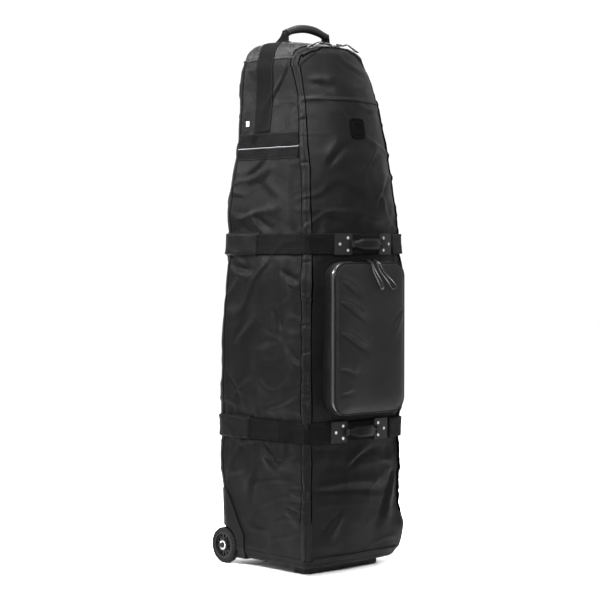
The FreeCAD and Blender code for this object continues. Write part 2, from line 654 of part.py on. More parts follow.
def handle_tab(sign):
    """Upright webbing tab beside each end of the grip."""
    body = new_body(f"tab{sign}")
    inner = "grip_half + 0.5" if sign > 0 else "0 - grip_half - 0.5 - tab_thick"
    sketch = new_sketch(body, f"tab{sign}_outline", "YZ_Plane", inner)
    polygon(sketch, [("handle_y - tab_half", "roof_high"), ("handle_y + tab_half", "roof_high"),
                     ("handle_y + tab_half / 2", "handle_z + 7"),
                     ("handle_y - tab_half / 2", "handle_z + 7")])
    pad(body, f"tab{sign}_pad", sketch, "tab_thick")
    return body


def outward(sign, low, high):
    """Pair of X expressions on the left (-1) or right (1) side."""
    return (low, high) if sign > 0 else (f"0 - ({high})", f"0 - ({low})")


def grip_arc():
    """Round grip bent to a shallow arch, cut square at the ends."""
    half, rise = SIZES["grip_half"], SIZES["handle_rise"]
    arc = (half * half + rise * rise) / (2 * rise)
    arc_text = "(grip_half^2 + handle_rise^2) / (2 * handle_rise)"
    body = new_body("grip_arch")
    sketch = new_sketch(body, "grip_section", "YZ_Plane")
    circle(sketch, "grip_radius", "0", arc_text)
    feature = revolve(body, "grip_turn", sketch)
    feature.Angle = 2 * math.degrees(math.asin(half / arc)) + 12
    feature.Midplane = True
    place(body, "0", "handle_y", f"handle_z + handle_rise - {arc_text}")
    return body


grip_pins = [rod(f"grip_pin{sign}", "3", *outward(sign, "grip_half - 10", "grip_half + 4"),
                 "handle_y", "handle_z") for sign in (-1, 1)]
grip_bores = [rod(f"grip_bore{sign}", "3 + pin_play", *outward(sign, "grip_half - 10.5", "grip_half + 4"),
                  "handle_y", "handle_z") for sign in (-1, 1)]
grip_span = box("grip_span", ("0 - grip_half", "grip_half"), ANY, ("1200", "1400"))
node(cut("grip_bored", common("grip_cut", grip_arc(), grip_span), fuse("grip_bores", grip_bores)),
     "top_handle_grip")
node(cut("tabs_bored", group("tab_pair", [handle_tab(-1), handle_tab(1)]),
         fuse("grip_pins_tool", grip_pins)), "top_handle_tabs")
node(group("grip_pin_pair", grip_pins), "top_handle_pins")

# ---------------------------------------------------------------- wheels, bearings, axles

TYRE = [("0 - wheel_width / 2", "rim_radius"), ("wheel_width / 2", "rim_radius"),
        ("wheel_width / 2", "wheel_radius - 6"), ("wheel_width / 2 - 2", "wheel_radius - 2"),
        ("wheel_width / 2 - 6", "wheel_radius"), ("6 - wheel_width / 2", "wheel_radius"),
        ("2 - wheel_width / 2", "wheel_radius - 2"), ("0 - wheel_width / 2", "wheel_radius - 6")]
HUB_HALF = [("wheel_width / 2", "bearing_radius"), ("wheel_width / 2", "bearing_radius + 4"),
            ("5", "bearing_radius + 4"), ("5", "rim_radius - 4"), ("wheel_width / 2 - 1", "rim_radius - 4"),
            ("wheel_width / 2 - 1", "rim_radius")]
SLOTS = 12


def turned(name, outline, x, y, z):
    """Body of revolution about its own X axis, set down at a point."""
    body = new_body(name)
    sketch = new_sketch(body, name + "_outline", "XY_Plane")
    polygon(sketch, outline)
    revolve(body, name + "_turn", sketch)
    place(body, x, y, z)
    return body


def spoked_hub(name, x):
    outline = HUB_HALF + [(f"0 - ({across})", up) for across, up in reversed(HUB_HALF)]
    body = turned(name, outline, x, "wheel_y", "wheel_radius")
    sketch = new_sketch(body, name + "_slot_outline", "YZ_Plane")
    polygon(sketch, [("-1.5", "17"), ("1.5", "17"), ("3.4", "27"), ("-3.4", "27")])
    doc.recompute()
    slot = pocket_through(body, name + "_slot", sketch, "wheel_width")
    ring = body.newObject("PartDesign::PolarPattern", name + "_slots")
    ring.Originals = [slot]
    ring.Axis = ([f for f in body.Origin.OriginFeatures if f.Role == "X_Axis"][0], [""])
    ring.Angle, ring.Occurrences = 360, SLOTS
    body.Tip = ring
    return body


def collar(name, outer, inner, low, high):
    """Ring along the axle between two X expressions."""
    ring = rod(name + "_out", outer, low, high, "wheel_y", "wheel_radius")
    return cut(name, ring, rod(name + "_in", inner, low, high, "wheel_y", "wheel_radius"))


axle_parts = []
for side, sign in (("left", -1), ("right", 1)):
    centre = "wheel_x" if sign > 0 else "0 - wheel_x"
    node(turned(side + "_tyre_body", TYRE, centre, "wheel_y", "wheel_radius"), side + "_tyre")
    node(spoked_hub(side + "_hub_body", centre), side + "_hub")
    face = "wheel_x + wheel_width / 2"
    back = "wheel_x - wheel_width / 2"
    races = [collar(f"{side}_race{i}", "bearing_radius", "axle_radius + bearing_play",
                    *outward(sign, *ends))
             for i, ends in enumerate(((back, f"{back} + bearing_width"),
                                       (f"{face} - bearing_width", face)))]
    node(group(side + "_races", races), side + "_bearings")
    shaft = rod(side + "_shaft", "axle_radius", *outward(sign, "124", f"{face} + 1"),
                "wheel_y", "wheel_radius")
    head = rod(side + "_bolt_head", "7", *outward(sign, f"{face} + 0.6", f"{face} + 3.6"),
               "wheel_y", "wheel_radius")
    axle_parts.append(fuse(side + "_bolt", [shaft, head]))
    axle_parts.append(collar(side + "_spacer", "nut_radius", "axle_radius",
                             *outward(sign, "well_inner", f"{back} - 0.1")))
    axle_parts.append(collar(side + "_nut", "nut_radius", "axle_radius",
                             *outward(sign, "124.5", "well_inner - wall - 5")))
node(group("axle_set", axle_parts), "axle_bolts")

# ---------------------------------------------------------------- front foot

foot = new_body("foot")
foot_outline = new_sketch(foot, "foot_outline", "XY_Plane")
rounded_rectangle(foot_outline, "foot_half", "foot_low", "foot_high", "foot_corner")
foot_pad = pad(foot, "foot_pad", foot_outline, "foot_height")
doc.recompute()
sole = [f"Face{i}" for i, face in enumerate(foot_pad.Shape.Faces, 1) if face.BoundBox.ZMax < 0.1]
foot_edge = foot.newObject("PartDesign::Fillet", "foot_edge")
foot_edge.Base = (foot_pad, sole)
foot_edge.Radius = 5
node(foot, "front_foot")

# ---------------------------------------------------------------- zip sliders, pulls and cords

def local_box(name, x, y, z):
    thing = doc.addObject("Part::Box", name)
    thing.Length, thing.Width, thing.Height = x[1] - x[0], y[1] - y[0], z[1] - z[0]
    thing.Placement.Base = Vector(x[0], y[0], z[0])
    return thing


def cross_rod(name, radius, half, x, z):
    """Cylinder along the local Y axis."""
    thing = doc.addObject("Part::Cylinder", name)
    thing.Radius, thing.Height = radius, 2 * half
    thing.Placement = Placement(Vector(x, half, z), Rotation(Vector(1, 0, 0), 90))
    return thing


def frame_at(spot, heading, normal):
    """Placement whose X axis is the way the pull points and whose Z axis leaves the tape."""
    return Placement(spot, Rotation(heading, normal.cross(heading), normal, "ZXY"))


def slider(name, place_at, length):
    """Slider body with two ears and the pin that its pull swings on."""
    low, high = SIZES["slider_lift"], SIZES["slider_lift"] + SIZES["slider_high"]
    wide, rise = SIZES["slider_wide"] / 2, SIZES["pull_rise"]
    ear_in = SIZES["pull_wide"] / 2 + 0.2
    parts = [local_box(name + "_plate", (-length / 2, length / 2), (-wide, wide), (low, high))]
    for sign in (-1, 1):
        ear = sorted((sign * ear_in, sign * wide))
        parts.append(local_box(f"{name}_ear{sign}", (length / 2 - 2.4, length / 2 + 1.2), ear,
                               (low, rise + 1.4)))
    parts.append(cross_rod(name + "_pin", SIZES["pull_pin"], wide, length / 2, rise))
    whole = fuse(name + "_whole", parts)
    whole.Placement = place_at
    return node(whole, name)


def pull_tab(name, place_at, length, tilt):
    """Moulded pull with a round eye at the pin, turned down by tilt about the pin."""
    half, long = SIZES["pull_thick"] / 2, SIZES["pull_long"]
    wide = SIZES["pull_wide"] / 2
    blade = local_box(name + "_blade", (0, long), (-wide, wide), (-half, half))
    eye = cross_rod(name + "_eye", half, wide, 0, 0)
    hole = cross_rod(name + "_hole", SIZES["pull_pin"] + SIZES["pin_play"], wide + 1, 0, 0)
    whole = cut(name + "_bored", fuse(name + "_solid", [blade, eye]), hole)
    turn = Placement(Vector(length / 2, 0, SIZES["pull_rise"]), Rotation(Vector(0, 1, 0), tilt))
    whole.Placement = place_at.multiply(turn)
    node(whole, name)
    return whole.Placement.multVec(Vector(long, 0, 0))


def tube(name, route):
    """Cord along straight runs joined by tangent arcs through a hand-chosen route."""
    points = [Vector(*p) for p in route]
    edges, radii, at = [], [], points[0]
    for before, corner, after in zip(points, points[1:], points[2:]):
        run_in, run_out = corner - before, after - corner
        trim = 0.45 * min(run_in.Length, run_out.Length)
        radius = trim / math.tan(run_in.getAngle(run_out) / 2)
        start = corner - run_in.normalize() * trim
        end = corner + run_out.normalize() * trim
        inward = ((start + end) / 2 - corner).normalize()
        middle = corner + inward * (math.hypot(radius, trim) - radius)
        edges.append(Part.LineSegment(at, start).toShape())
        edges.append(Part.Arc(start, middle, end).toShape())
        radii.append(round(radius, 1))
        at = end
    edges.append(Part.LineSegment(at, points[-1]).toShape())
    spine = Part.Wire(edges)
    section = Part.Wire(Part.Circle(points[0], points[1] - points[0], SIZES["cord_radius"]).toShape())
    solid = spine.makePipeShell([section], True, True)
    ideal = math.pi * SIZES["cord_radius"] ** 2 * spine.Length
    print(name, "radii", radii, "length", round(spine.Length, 1),
          "volume ratio", round(solid.Volume / ideal, 3))
    thing = doc.addObject("Part::Feature", name)
    thing.Shape = solid
    return node(thing, name)


# Routes from the end of each pull: across, forwards and up from that point.
POCKET_CORD = [(-2.0, 0.0, 0.0), (-2.0, -4.0, -1.87), (-1.2, -6.0, -7.5), (1.5, -5.4, -16.0),
               (7.0, -4.0, -27.5), (14.5, -2.8, -41.0), (21.0, -2.4, -53.5), (24.4, -2.2, -61.5),
               (28.4, -2.2, -66.0), (33.6, -2.2, -65.0), (34.6, -2.2, -59.5), (29.0, -2.4, -50.0),
               (21.0, -2.9, -37.0), (12.5, -4.0, -25.0), (5.5, -5.6, -14.5), (2.6, -6.0, -7.0),
               (2.0, -4.0, -1.87), (2.0, 0.0, 0.0)]
ROOF_CORD = [(0.0, -1.8, -0.9), (5.0, -1.8, -0.9), (11.5, -2.6, 1.6), (20.5, -3.2, 1.4),
             (31.5, -2.4, -3.6), (42.0, -2.0, -8.8), (49.5, -2.2, -11.6), (56.0, -0.4, -12.8),
             (59.0, 4.0, -12.6), (56.6, 8.4, -11.2), (50.0, 9.4, -8.4), (41.0, 7.4, -4.4),
             (30.5, 5.0, -0.2), (20.0, 3.4, 3.6), (11.5, 2.2, 3.4), (5.0, 1.8, 0.9),
             (0.0, 1.8, 0.9)]

PULL_TILT = 25.0
for side, x in (("left", -8.0), ("right", 14.0)):
    spot = Vector(x, 2.5 - SIZES["pocket_front"], SIZES["pocket_high"])
    at = frame_at(spot, Vector(0, -1, 0), Vector(0, 0, 1))
    slider(f"pocket_slider_{side}", at, SIZES["slider_short"])
    end = pull_tab(f"pocket_pull_{side}", at, SIZES["slider_short"], PULL_TILT)
    spread = 1.2 if side == "left" else 1.9
    route = [(end.x + (p[0] if i in (0, 1, 16, 17) else 2 + (p[0] - 2) * spread), end.y + p[1],
              end.z + p[2]) for i, p in enumerate(POCKET_CORD)]
    tube(f"pocket_cord_{side}", route)

ROOF_TILT = math.atan(0.5)
roof_normal = Vector(0, -math.sin(ROOF_TILT), math.cos(ROOF_TILT))
for side, sign in (("left", -1), ("right", 1)):
    spot = Vector(8.0 * sign, -67.2, 1292.4)
    at = frame_at(spot, Vector(sign, 0, 0), roof_normal)
    slider(f"main_slider_{side}", at, SIZES["slider_long"])
    end = pull_tab(f"main_pull_{side}", at, SIZES["slider_long"], 0.0)
    tube(f"main_cord_{side}", [(end.x + sign * a, end.y + b, end.z + c) for a, b, c in ROOF_CORD])

# ---------------------------------------------------------------- check and write

doc.recompute()
failed = [thing.Name for thing in doc.Objects
          if "Invalid" in thing.State or "Error" in thing.State]
assert not failed, f"failed objects: {failed}"
os.makedirs("parts", exist_ok=True)
for thing in NODES:
    shape = thing.Shape
    assert not shape.isNull() and shape.isValid(), f"bad shape: {thing.Label}"
    assert shape.Solids and shape.Volume > 0, f"no solid: {thing.Label}"
    shape.exportStep(f"parts/{thing.Label}.step")
    print(f"{thing.Label:24s} solids {len(shape.Solids):2d} volume {shape.Volume / 1000:8.2f} cm3")
print(len(NODES), "nodes")
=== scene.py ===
import math

import bmesh
import bpy
import numpy as np
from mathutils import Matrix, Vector


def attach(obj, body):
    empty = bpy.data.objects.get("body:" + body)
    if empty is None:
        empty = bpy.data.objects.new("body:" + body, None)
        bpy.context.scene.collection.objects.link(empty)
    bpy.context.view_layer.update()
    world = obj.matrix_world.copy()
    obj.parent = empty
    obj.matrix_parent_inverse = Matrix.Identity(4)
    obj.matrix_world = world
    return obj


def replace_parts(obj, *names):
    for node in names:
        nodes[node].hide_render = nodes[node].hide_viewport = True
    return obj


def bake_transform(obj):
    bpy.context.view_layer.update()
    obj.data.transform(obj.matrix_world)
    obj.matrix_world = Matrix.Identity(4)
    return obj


# Wheeled soft golf travel case. The surface functions below work in millimetres and the
# meshes are in metres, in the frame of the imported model: +Z up, front towards -Y.

MM = 0.001
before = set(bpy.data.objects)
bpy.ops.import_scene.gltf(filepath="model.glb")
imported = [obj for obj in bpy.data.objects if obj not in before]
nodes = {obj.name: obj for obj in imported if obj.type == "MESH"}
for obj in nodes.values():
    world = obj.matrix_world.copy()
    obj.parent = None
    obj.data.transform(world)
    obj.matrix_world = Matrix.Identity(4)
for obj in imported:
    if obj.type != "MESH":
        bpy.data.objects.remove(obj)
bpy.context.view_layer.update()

# ---------------------------------------------------------------- the case as one surface

# height, half width, front edge, rear face, front bulge
LEVELS = np.array([
    (20, 152, 128, 164, 14), (46, 160, 142, 184, 14), (344, 158, 144, 200, 14),
    (560, 164, 147, 193, 18), (806, 155, 144, 181, 34), (985, 145, 126, 168, 48),
    (1155, 127, 91, 162, 48), (1240, 119, 65, 157, 41), (1282, 108, 50, 146, 38),
    (1300, 84, 26, 118, 26)], float)
FLOOR, ROOF = 20.0, 1300.0
SOLE, SHOULDER = 46.0, 1240.0       # the case narrows below and above these heights
REAR_CORNER, FRONT_CORNER = 40.0, 14.0
SILL, ROOF_SEAM = 42.0, 1262.0
REAR_SEAM = 3 + math.asin(6 / REAR_CORNER) / (math.pi / 2)
ROOF_ZIP_Y = -52.0                  # depth at which the zip turns across the roof
BADGE_Z = 1088.0
PULL = 1.7                          # strength of the pulled folds
WALK_STEPS = 4
BAND_EDGE = 0.5                     # how far the edges of a band are rounded off
BELTS = (806.0, 349.0)
BELT_HALF = 25.5


def smooth(x, low=0.0, high=1.0):
    t = np.clip((x - low) / (high - low), 0, 1)
    return t * t * (3 - 2 * t)


def circle(count):
    """Angles evenly spread round one turn."""
    return np.linspace(0, 2 * math.pi, count, endpoint=False)


def stations(*runs):
    """Even steps through runs of (first, last, count) that share their ends."""
    return np.concatenate([*(np.linspace(*run)[:-1] for run in runs[:-1]),
                           np.linspace(*runs[-1])])


def run_along(points):
    """Distance run at each point of a line."""
    return np.concatenate([[0], np.cumsum(np.linalg.norm(np.diff(points, axis=0), axis=-1))])


def picked(at, run, values):
    """Values of a line, found again at other distances along it."""
    return np.stack([np.interp(at, run, column) for column in values.T], -1)


def measures(z):
    """Half width, front edge, rear face and bulge at a height, eased from level to level."""
    reach = np.clip(np.minimum(z - SOLE, SHOULDER - z) * 0.5, 0, 45)
    total = 0
    for k in (-1, -0.5, 0, 0.5, 1):
        total = total + np.stack([np.interp(z + k * reach, LEVELS[:, 0], LEVELS[:, i])
                                  for i in (1, 2, 3, 4)])
    return total / 5


def front_arc(z):
    """Half width, rear face, and the front bulge: its radius, its centre, the centre of the
    corner it runs into and the angle at which it does."""
    w, yf, yr, b = measures(z)
    arc = (w * w + b * b) / (2 * b)
    cy = arc - yf - b
    ty = cy - np.sqrt((arc - FRONT_CORNER) ** 2 - (w - FRONT_CORNER) ** 2)
    return w, yr, arc, cy, ty, np.arctan2(w - FRONT_CORNER, cy - ty)


def outline(z, s):
    """Point of the case at height z and place s round it: 0 front, 1-2 front corner,
    2-3 side, 3-4 rear corner, 5 back, negative on the left. Beyond the roof or the floor
    z counts millimetres inwards."""
    z, s = np.broadcast_arrays(np.asarray(z, float), np.asarray(s, float))
    s = np.where(s > 5, s - 10, np.where(s < -5, s + 10, s))
    w, yr, arc, cy, ty, lean = front_arc(np.clip(z, FLOOR, ROOF))
    a = np.abs(s)
    th = np.clip(a, 0, 1) * lean
    ph = lean + (np.clip(a, 1, 2) - 1) * (math.pi / 2 - lean)
    f = np.clip(a, 2, 3) - 2
    al = (np.clip(a, 3, 4) - 3) * math.pi / 2
    g = np.clip(a, 4, 5) - 4
    where = [a < 1, a < 2, a < 3, a < 4]
    x = np.select(where, [arc * np.sin(th), w - FRONT_CORNER + FRONT_CORNER * np.sin(ph), w,
                          w - REAR_CORNER + REAR_CORNER * np.cos(al)], (w - REAR_CORNER) * (1 - g))
    y = np.select(where, [cy - arc * np.cos(th), ty - FRONT_CORNER * np.cos(ph),
                          ty + f * (yr - REAR_CORNER - ty),
                          yr - REAR_CORNER + REAR_CORNER * np.sin(al)], yr)
    x = x * np.where(s < 0, -1, 1)
    top = np.clip(1 - (z - ROOF) / 84, 0, 1)
    low = np.clip(1 - (FLOOR - z) / 152, 0, 1)
    shrink = np.where(z > ROOF, top, np.where(z < FLOOR, low, 1))
    middle = np.where(z > ROOF, 29, 11)
    height = np.clip(z, FLOOR, ROOF) + np.where(z > ROOF, 1.5 * (1 - shrink ** 2), 0)
    return np.stack([x * shrink, middle + (y - middle) * shrink, height], -1)


def base(z, s):
    """The outline with its roof and floor edges rounded off."""
    z, s = np.broadcast_arrays(np.asarray(z, float), np.asarray(s, float))
    reach = np.clip((z - SHOULDER) * 0.6, 0, 9) + np.clip((SOLE - z) * 0.5, 0, 7)
    return sum(outline(z + k * reach, s) for k in (-1, -0.5, 0, 0.5, 1)) / 5


def slopes(z, s):
    along_z = (base(z + 1, s) - base(z - 1, s)) / 2
    along_s = (base(z, s + 0.004) - base(z, s - 0.004)) / 0.008
    return along_z, along_s


def unit(v):
    return v / np.maximum(np.linalg.norm(v, axis=-1, keepdims=True), 1e-9)


def dot(a, b):
    return np.sum(a * b, -1)


def waves(p, size, seed, stretch=(1, 1, 1)):
    """Smooth wandering field of about -1 to 1, from plane waves near one wavelength."""
    rng = np.random.default_rng(seed)
    total = 0
    for _ in range(14):
        way = unit(rng.normal(size=3)) * rng.uniform(0.6, 1.5) * np.array(stretch) / size
        total = total + np.sin(2 * math.pi * (p @ way) + rng.uniform(0, 2 * math.pi))
    return total / math.sqrt(7)


def crease(p, size, seed, width, stretch=(1, 1, 1)):
    """Sharp folds along wandering lines: a ridge with a hollow beside it."""
    r = waves(p, size, seed, stretch) / width
    return (r + 0.55) * np.exp(-r * r)


# Pulled folds: from (across, height) to (across, height), width and depth. Across is the
# depth of the case on its sides and its width on its front.
SIDE_FOLDS = [(4, 405, -104, 444, 10, 3.4), (6, 314, -34, 266, 9, 3.8),
              (-34, 266, -96, 308, 9, 3.0), (-78, 206, -134, 220, 7, 2.8),
              (-84, 176, -134, 183, 7, 2.8), (-66, 158, -124, 160, 7, 2.2),
              (140, 754, 58, 742, 9, 3.2), (-58, 744, -118, 716, 9, 3.2),
              (-22, 644, -56, 604, 8, 2.4), (-78, 556, -126, 522, 8, 2.6),
              (92, 972, 22, 1012, 10, 3.2), (60, 880, 0, 846, 10, 2.8),
              (120, 560, 70, 640, 12, 2.6), (96, 430, 150, 470, 9, 2.6),
              (30, 250, 60, 180, 10, 2.4)]
FRONT_FOLDS = [(-32, 260, 62, 310, 10, 3.8), (-134, 208, 84, 196, 11, 3.2),
               (-132, 312, -64, 304, 8, 2.6), (-98, 996, -36, 1048, 11, 3.0),
               (-104, 1204, -56, 1180, 9, 2.4), (40, 900, 110, 960, 12, 2.6),
               (-110, 880, -60, 850, 9, 2.4), (130, 240, 60, 120, 12, 2.8),
               (-60, 150, -120, 110, 10, 2.4), (20, 1000, 80, 1020, 10, 2.0)]


def pulled(across, z, folds):
    """Valleys with a soft ridge beside them, tapering out along their length."""
    total = 0
    for a0, z0, a1, z1, width, depth in folds:
        long = math.hypot(a1 - a0, z1 - z0)
        ua, uz = (a1 - a0) / long, (z1 - z0) / long
        t = ((across - a0) * ua + (z - z0) * uz) / long
        d = (across - a0) * -uz + (z - z0) * ua + 5 * np.sin(3 * t + depth)
        fade = smooth(t, -0.12, 0.3) * smooth(1.25 - t, 0, 0.6)
        w = width * (0.55 + 0.6 * np.clip(t, 0, 1))
        total = total + depth * fade * (np.exp(-((d - 1.5 * w) / (1.5 * w)) ** 2)
                                        - 1.2 * np.exp(-(d / w) ** 2))
    return total


def relief(p, z):
    """How far the cloth stands off the plain surface, in millimetres."""
    x, y = p[..., 0], p[..., 1]
    front = smooth(-y, 40, 90)
    patch = smooth(waves(p, 300, 11), -0.5, 0.9)
    lift = 2.6 * waves(p, 250, 12, (1, 1, 0.8))
    lift = lift + 3.4 * patch * crease(p, 210, 13, 0.34, (0.9, 0.9, 1.2))
    lift = lift + 2.3 * (1.1 - patch) * crease(p, 140, 14, 0.42, (0.8, 0.8, 1.3))
    lift = lift + 0.3 * waves(p, 60, 15, (1, 1, 0.8))
    facing = smooth(-y - np.interp(z, LEVELS[:, 0], LEVELS[:, 2]), -14, 6)
    lift = lift + PULL * (1 - facing) * pulled(y, z, SIDE_FOLDS)
    lift = lift + PULL * facing * pulled(x, z, FRONT_FOLDS)
    split = split_y(z)
    near_zip = np.exp(-((y - split) / 46) ** 2) * (z < 1180)
    lift = lift + near_zip * 1.4 * crease(p, 80, 16, 0.5, (0.3, 0.3, 1.2)) * smooth(z, 90, 200)
    calm = np.ones_like(z)
    for belt in BELTS:
        off = np.abs(z - belt)
        plate = front * smooth(128 - np.abs(x), 0, 20)
        edge = np.exp(-np.clip(off - 26, 0, None) / 34)
        lift = lift + 1.5 * edge * waves(p, 34, 17 + int(belt), (1, 1, 0.3)) * smooth(off, 10, 30)
        lift = lift - 3.4 * np.exp(-(off / 36) ** 2) + 3.2 * np.exp(-((off - 82) / 46) ** 2)
        calm = calm * (1 - 0.93 * plate * smooth(62 - off, 0, 30))
        calm = calm * (1 - 0.55 * smooth(40 - off, 0, 20))
    zip_gap = np.abs(y - ROOF_ZIP_Y + (z - ROOF_SEAM) / 2)
    calm = calm * (1 - 0.9 * smooth(z, 1235, 1275) * np.exp(-(zip_gap / 26) ** 2))
    calm = calm * (1 - 0.75 * smooth(z, 1290, 1304))
    calm = calm * (1 - 0.85 * smooth(y, 40, 90) * smooth(230 - z, 0, 60))
    calm = calm * (1 - 0.75 * smooth(80 - z, 0, 40))
    badge = front * np.exp(-((x / 40) ** 4 + ((z - BADGE_Z) / 42) ** 4))
    pocket = front * smooth(150 - np.abs(x), 0, 25) * smooth(z, 375, 400) * smooth(780 - z, 0, 25)
    toe = 14 * np.exp(-((z - 92) / 40) ** 2) * smooth(x, 40, 150) * smooth(-y, 40, 130)
    crown = 6 * smooth(z, ROOF_SEAM, 1296) * smooth(y, -50, 20) * smooth(1345 - z, 5, 30)
    return lift * calm * (1 - 0.6 * pocket) * (1 - badge) + toe + crown


def surface(z, s):
    """Base point, outward normal and relief."""
    z, s = np.broadcast_arrays(np.asarray(z, float), np.asarray(s, float))
    p = base(z, s)
    along_z, along_s = slopes(z, s)
    n = np.cross(along_s, along_z)
    flat = np.linalg.norm(n, axis=-1, keepdims=True) < 1e-6
    up = np.zeros_like(n)
    up[..., 2] = np.where(z > 600, 1, -1)
    return p, unit(np.where(flat, up, n)), relief(p, z)


def skin(z, s, lift=0.0):
    p, n, r = surface(z, s)
    return p + n * (r + lift)[..., None]


def split_y(z):
    """Where the main zip runs at a height: the door is in front of it."""
    z = np.asarray(z, float)
    low = 6 - np.interp(z, LEVELS[:, 0], LEVELS[:, 2])
    return np.where(z < SHOULDER, low, np.interp(z, [SHOULDER, ROOF_SEAM, 1342],
                                                [-54, ROOF_ZIP_Y, -92]))


def side_place(z, y):
    """Place round the case of depth y on the right side."""
    z, y = np.broadcast_arrays(np.asarray(z, float), np.asarray(y, float))
    _, yr, _, _, ty, lean = front_arc(z)
    ph = np.arccos(np.clip((ty - y) / FRONT_CORNER, 0, 1))
    corner = 1 + np.clip((ph - lean) / (math.pi / 2 - lean), 0, 1)
    side = 2 + (y - ty) / (yr - REAR_CORNER - ty)
    rear = 3 + np.arcsin(np.clip((y - yr + REAR_CORNER) / REAR_CORNER, 0, 1)) / (math.pi / 2)
    return np.where(y < ty, corner, np.where(side > 3, rear, side))


def front_place(z, x):
    """Place round the case of width x on the bulging front."""
    z, x = np.broadcast_arrays(np.asarray(z, float), np.asarray(x, float))
    _, _, arc, _, _, lean = front_arc(z)
    return np.arcsin(np.clip(x / arc, -1, 1)) / lean


def split_place(z):
    return side_place(z, split_y(np.minimum(z, ROOF_SEAM)))


def zip_height(s):
    """Height at which the zip crosses the front of the roof at a place round the case."""
    s = np.asarray(s, float)
    low, high = np.full(s.shape, ROOF_SEAM), np.full(s.shape, ROOF)
    for _ in range(30):
        mid = (low + high) / 2
        before = base(mid, s)[..., 1] < ROOF_ZIP_Y - (mid - ROOF_SEAM) / 2
        low, high = np.where(before, mid, low), np.where(before, high, mid)
    return low


def beside(z, s, heading, distance):
    """Places reached by going a distance round the case, each at its own height: for paths
    that climb it."""
    way = np.sign(dot(heading, slopes(z, s)[1])) * np.sign(distance)
    spread = s[:, None] + way[:, None] * 1.3 * np.linspace(0, 1, 70) ** 2
    legs = np.linalg.norm(np.diff(base(z[:, None], spread), axis=1), axis=-1)
    run = np.concatenate([np.zeros((len(z), 1)), np.cumsum(legs, 1)], 1)
    return z, np.array([np.interp(abs(distance), a, b) for a, b in zip(run, spread)])


def walk(z, s, heading, distance):
    """Places reached by going a distance over the surface from (z, s)."""
    z, s = np.array(z, float), np.array(s, float)
    if distance == 0:
        return z, s
    level = np.abs(heading[..., 2]) < 0.5
    if level.all():
        return beside(z, s, heading, distance)
    first_z, start, v = z, s, heading
    for _ in range(WALK_STEPS):
        pz, ps = slopes(z, s)
        a, b, c = dot(pz, pz), dot(pz, ps), dot(ps, ps)
        e, f = dot(pz, v), dot(ps, v)
        det = np.maximum(a * c - b * b, 1e-9)
        dz, ds = (c * e - b * f) / det, (a * f - b * e) / det
        step = pz * dz[..., None] + ps * ds[..., None]
        size = np.maximum(np.linalg.norm(step, axis=-1), 1e-9)
        k = distance / WALK_STEPS / size
        here = base(z, s)
        for _ in range(6):
            moved = np.linalg.norm(base(z + dz * k, s + ds * k) - here, axis=-1)
            short = np.clip(abs(distance) / WALK_STEPS / np.maximum(moved, 1e-6), 0.05, 2.0)
            k = k * short
            if np.all(np.abs(short - 1) < 0.02):
                break
        z, s = z + dz * k, s + ds * k
        v = step / size[..., None]
    near_z, near_s = beside(first_z, start, heading, distance)
    return np.where(level, near_z, z), np.where(level, near_s, s)


def spaced(z, s, gap):
    """The path (z, s) again, with points an even gap apart, and its length."""
    run = run_along(base(z, s))
    at = np.linspace(0, run[-1], max(2, int(round(run[-1] / gap)) + 1))
    return np.interp(at, run, z), np.interp(at, run, s)


def across(z, s):
    """Unit direction square to the path, to its left as seen from outside."""
    p, n, _ = surface(z, s)
    side = unit(np.cross(n, np.gradient(p, axis=0)))
    for _ in range(6):
        side[1:-1] = (side[:-2] + 2 * side[1:-1] + side[2:]) / 4
    return unit(side)


# ---------------------------------------------------------------- mesh builders

def mesh_piece(name, points, faces, uv=None, groups=None):
    """Mesh object from a grid of points and UVs in millimetres."""
    mesh = bpy.data.meshes.new(name)
    points = np.reshape(points, (-1, 3))
    mesh.from_pydata((points * MM).tolist(), [], [list(map(int, f)) for f in faces])
    if uv is not None:
        layer = mesh.uv_layers.new(name="UVMap")
        index = np.empty(len(mesh.loops), int)
        mesh.loops.foreach_get("vertex_index", index)
        uv = np.reshape(uv, (-1, 2))[index] * MM
        layer.data.foreach_set("uv", uv.astype(np.float32).ravel())
    if groups is not None:
        mesh.polygons.foreach_set("material_index", np.asarray(groups, np.int32))
    mesh.shade_smooth()
    thing = bpy.data.objects.new(name, mesh)
    bpy.context.scene.collection.objects.link(thing)
    return thing


def dress(thing, body, slot, *materials):
    """Give a piece its materials and its body. The slot is not used."""
    for material in materials:
        thing.data.materials.append(material)
    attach(thing, body)
    return thing


def quads(rows, columns, close_rows=False, close_columns=False):
    i = np.arange(rows if close_rows else rows - 1)[:, None]
    j = np.arange(columns if close_columns else columns - 1)[None, :]
    i2, j2 = (i + 1) % rows, (j + 1) % columns
    return np.stack([i * columns + j, i * columns + j2, i2 * columns + j2, i2 * columns + j],
                    -1).reshape(-1, 4)


def tube_faces(count, around):
    """Faces of a capped tube of count rings."""
    return [*quads(count, around, close_columns=True).tolist(), list(range(around))[::-1],
            [(count - 1) * around + k for k in range(around)]]


def run_lengths(grid, axis):
    """Distance run along an axis of a grid of points, as a grid."""
    steps = np.linalg.norm(np.diff(grid, axis=axis), axis=-1)
    return np.concatenate([np.zeros_like(np.take(steps, [0], axis)), np.cumsum(steps, axis)], axis)


def two_faced(name, outer, inner, uv, faces, border, rim_group):
    """Thick sheet of two grids of points, closed along its border."""
    count = uv.size // 2
    everything = np.concatenate([faces, faces[:, ::-1] + count, border])
    return mesh_piece(name, [outer, inner], everything, [uv, uv],
                      groups=[0] * len(faces) + [1] * len(faces) + [rim_group] * len(border))


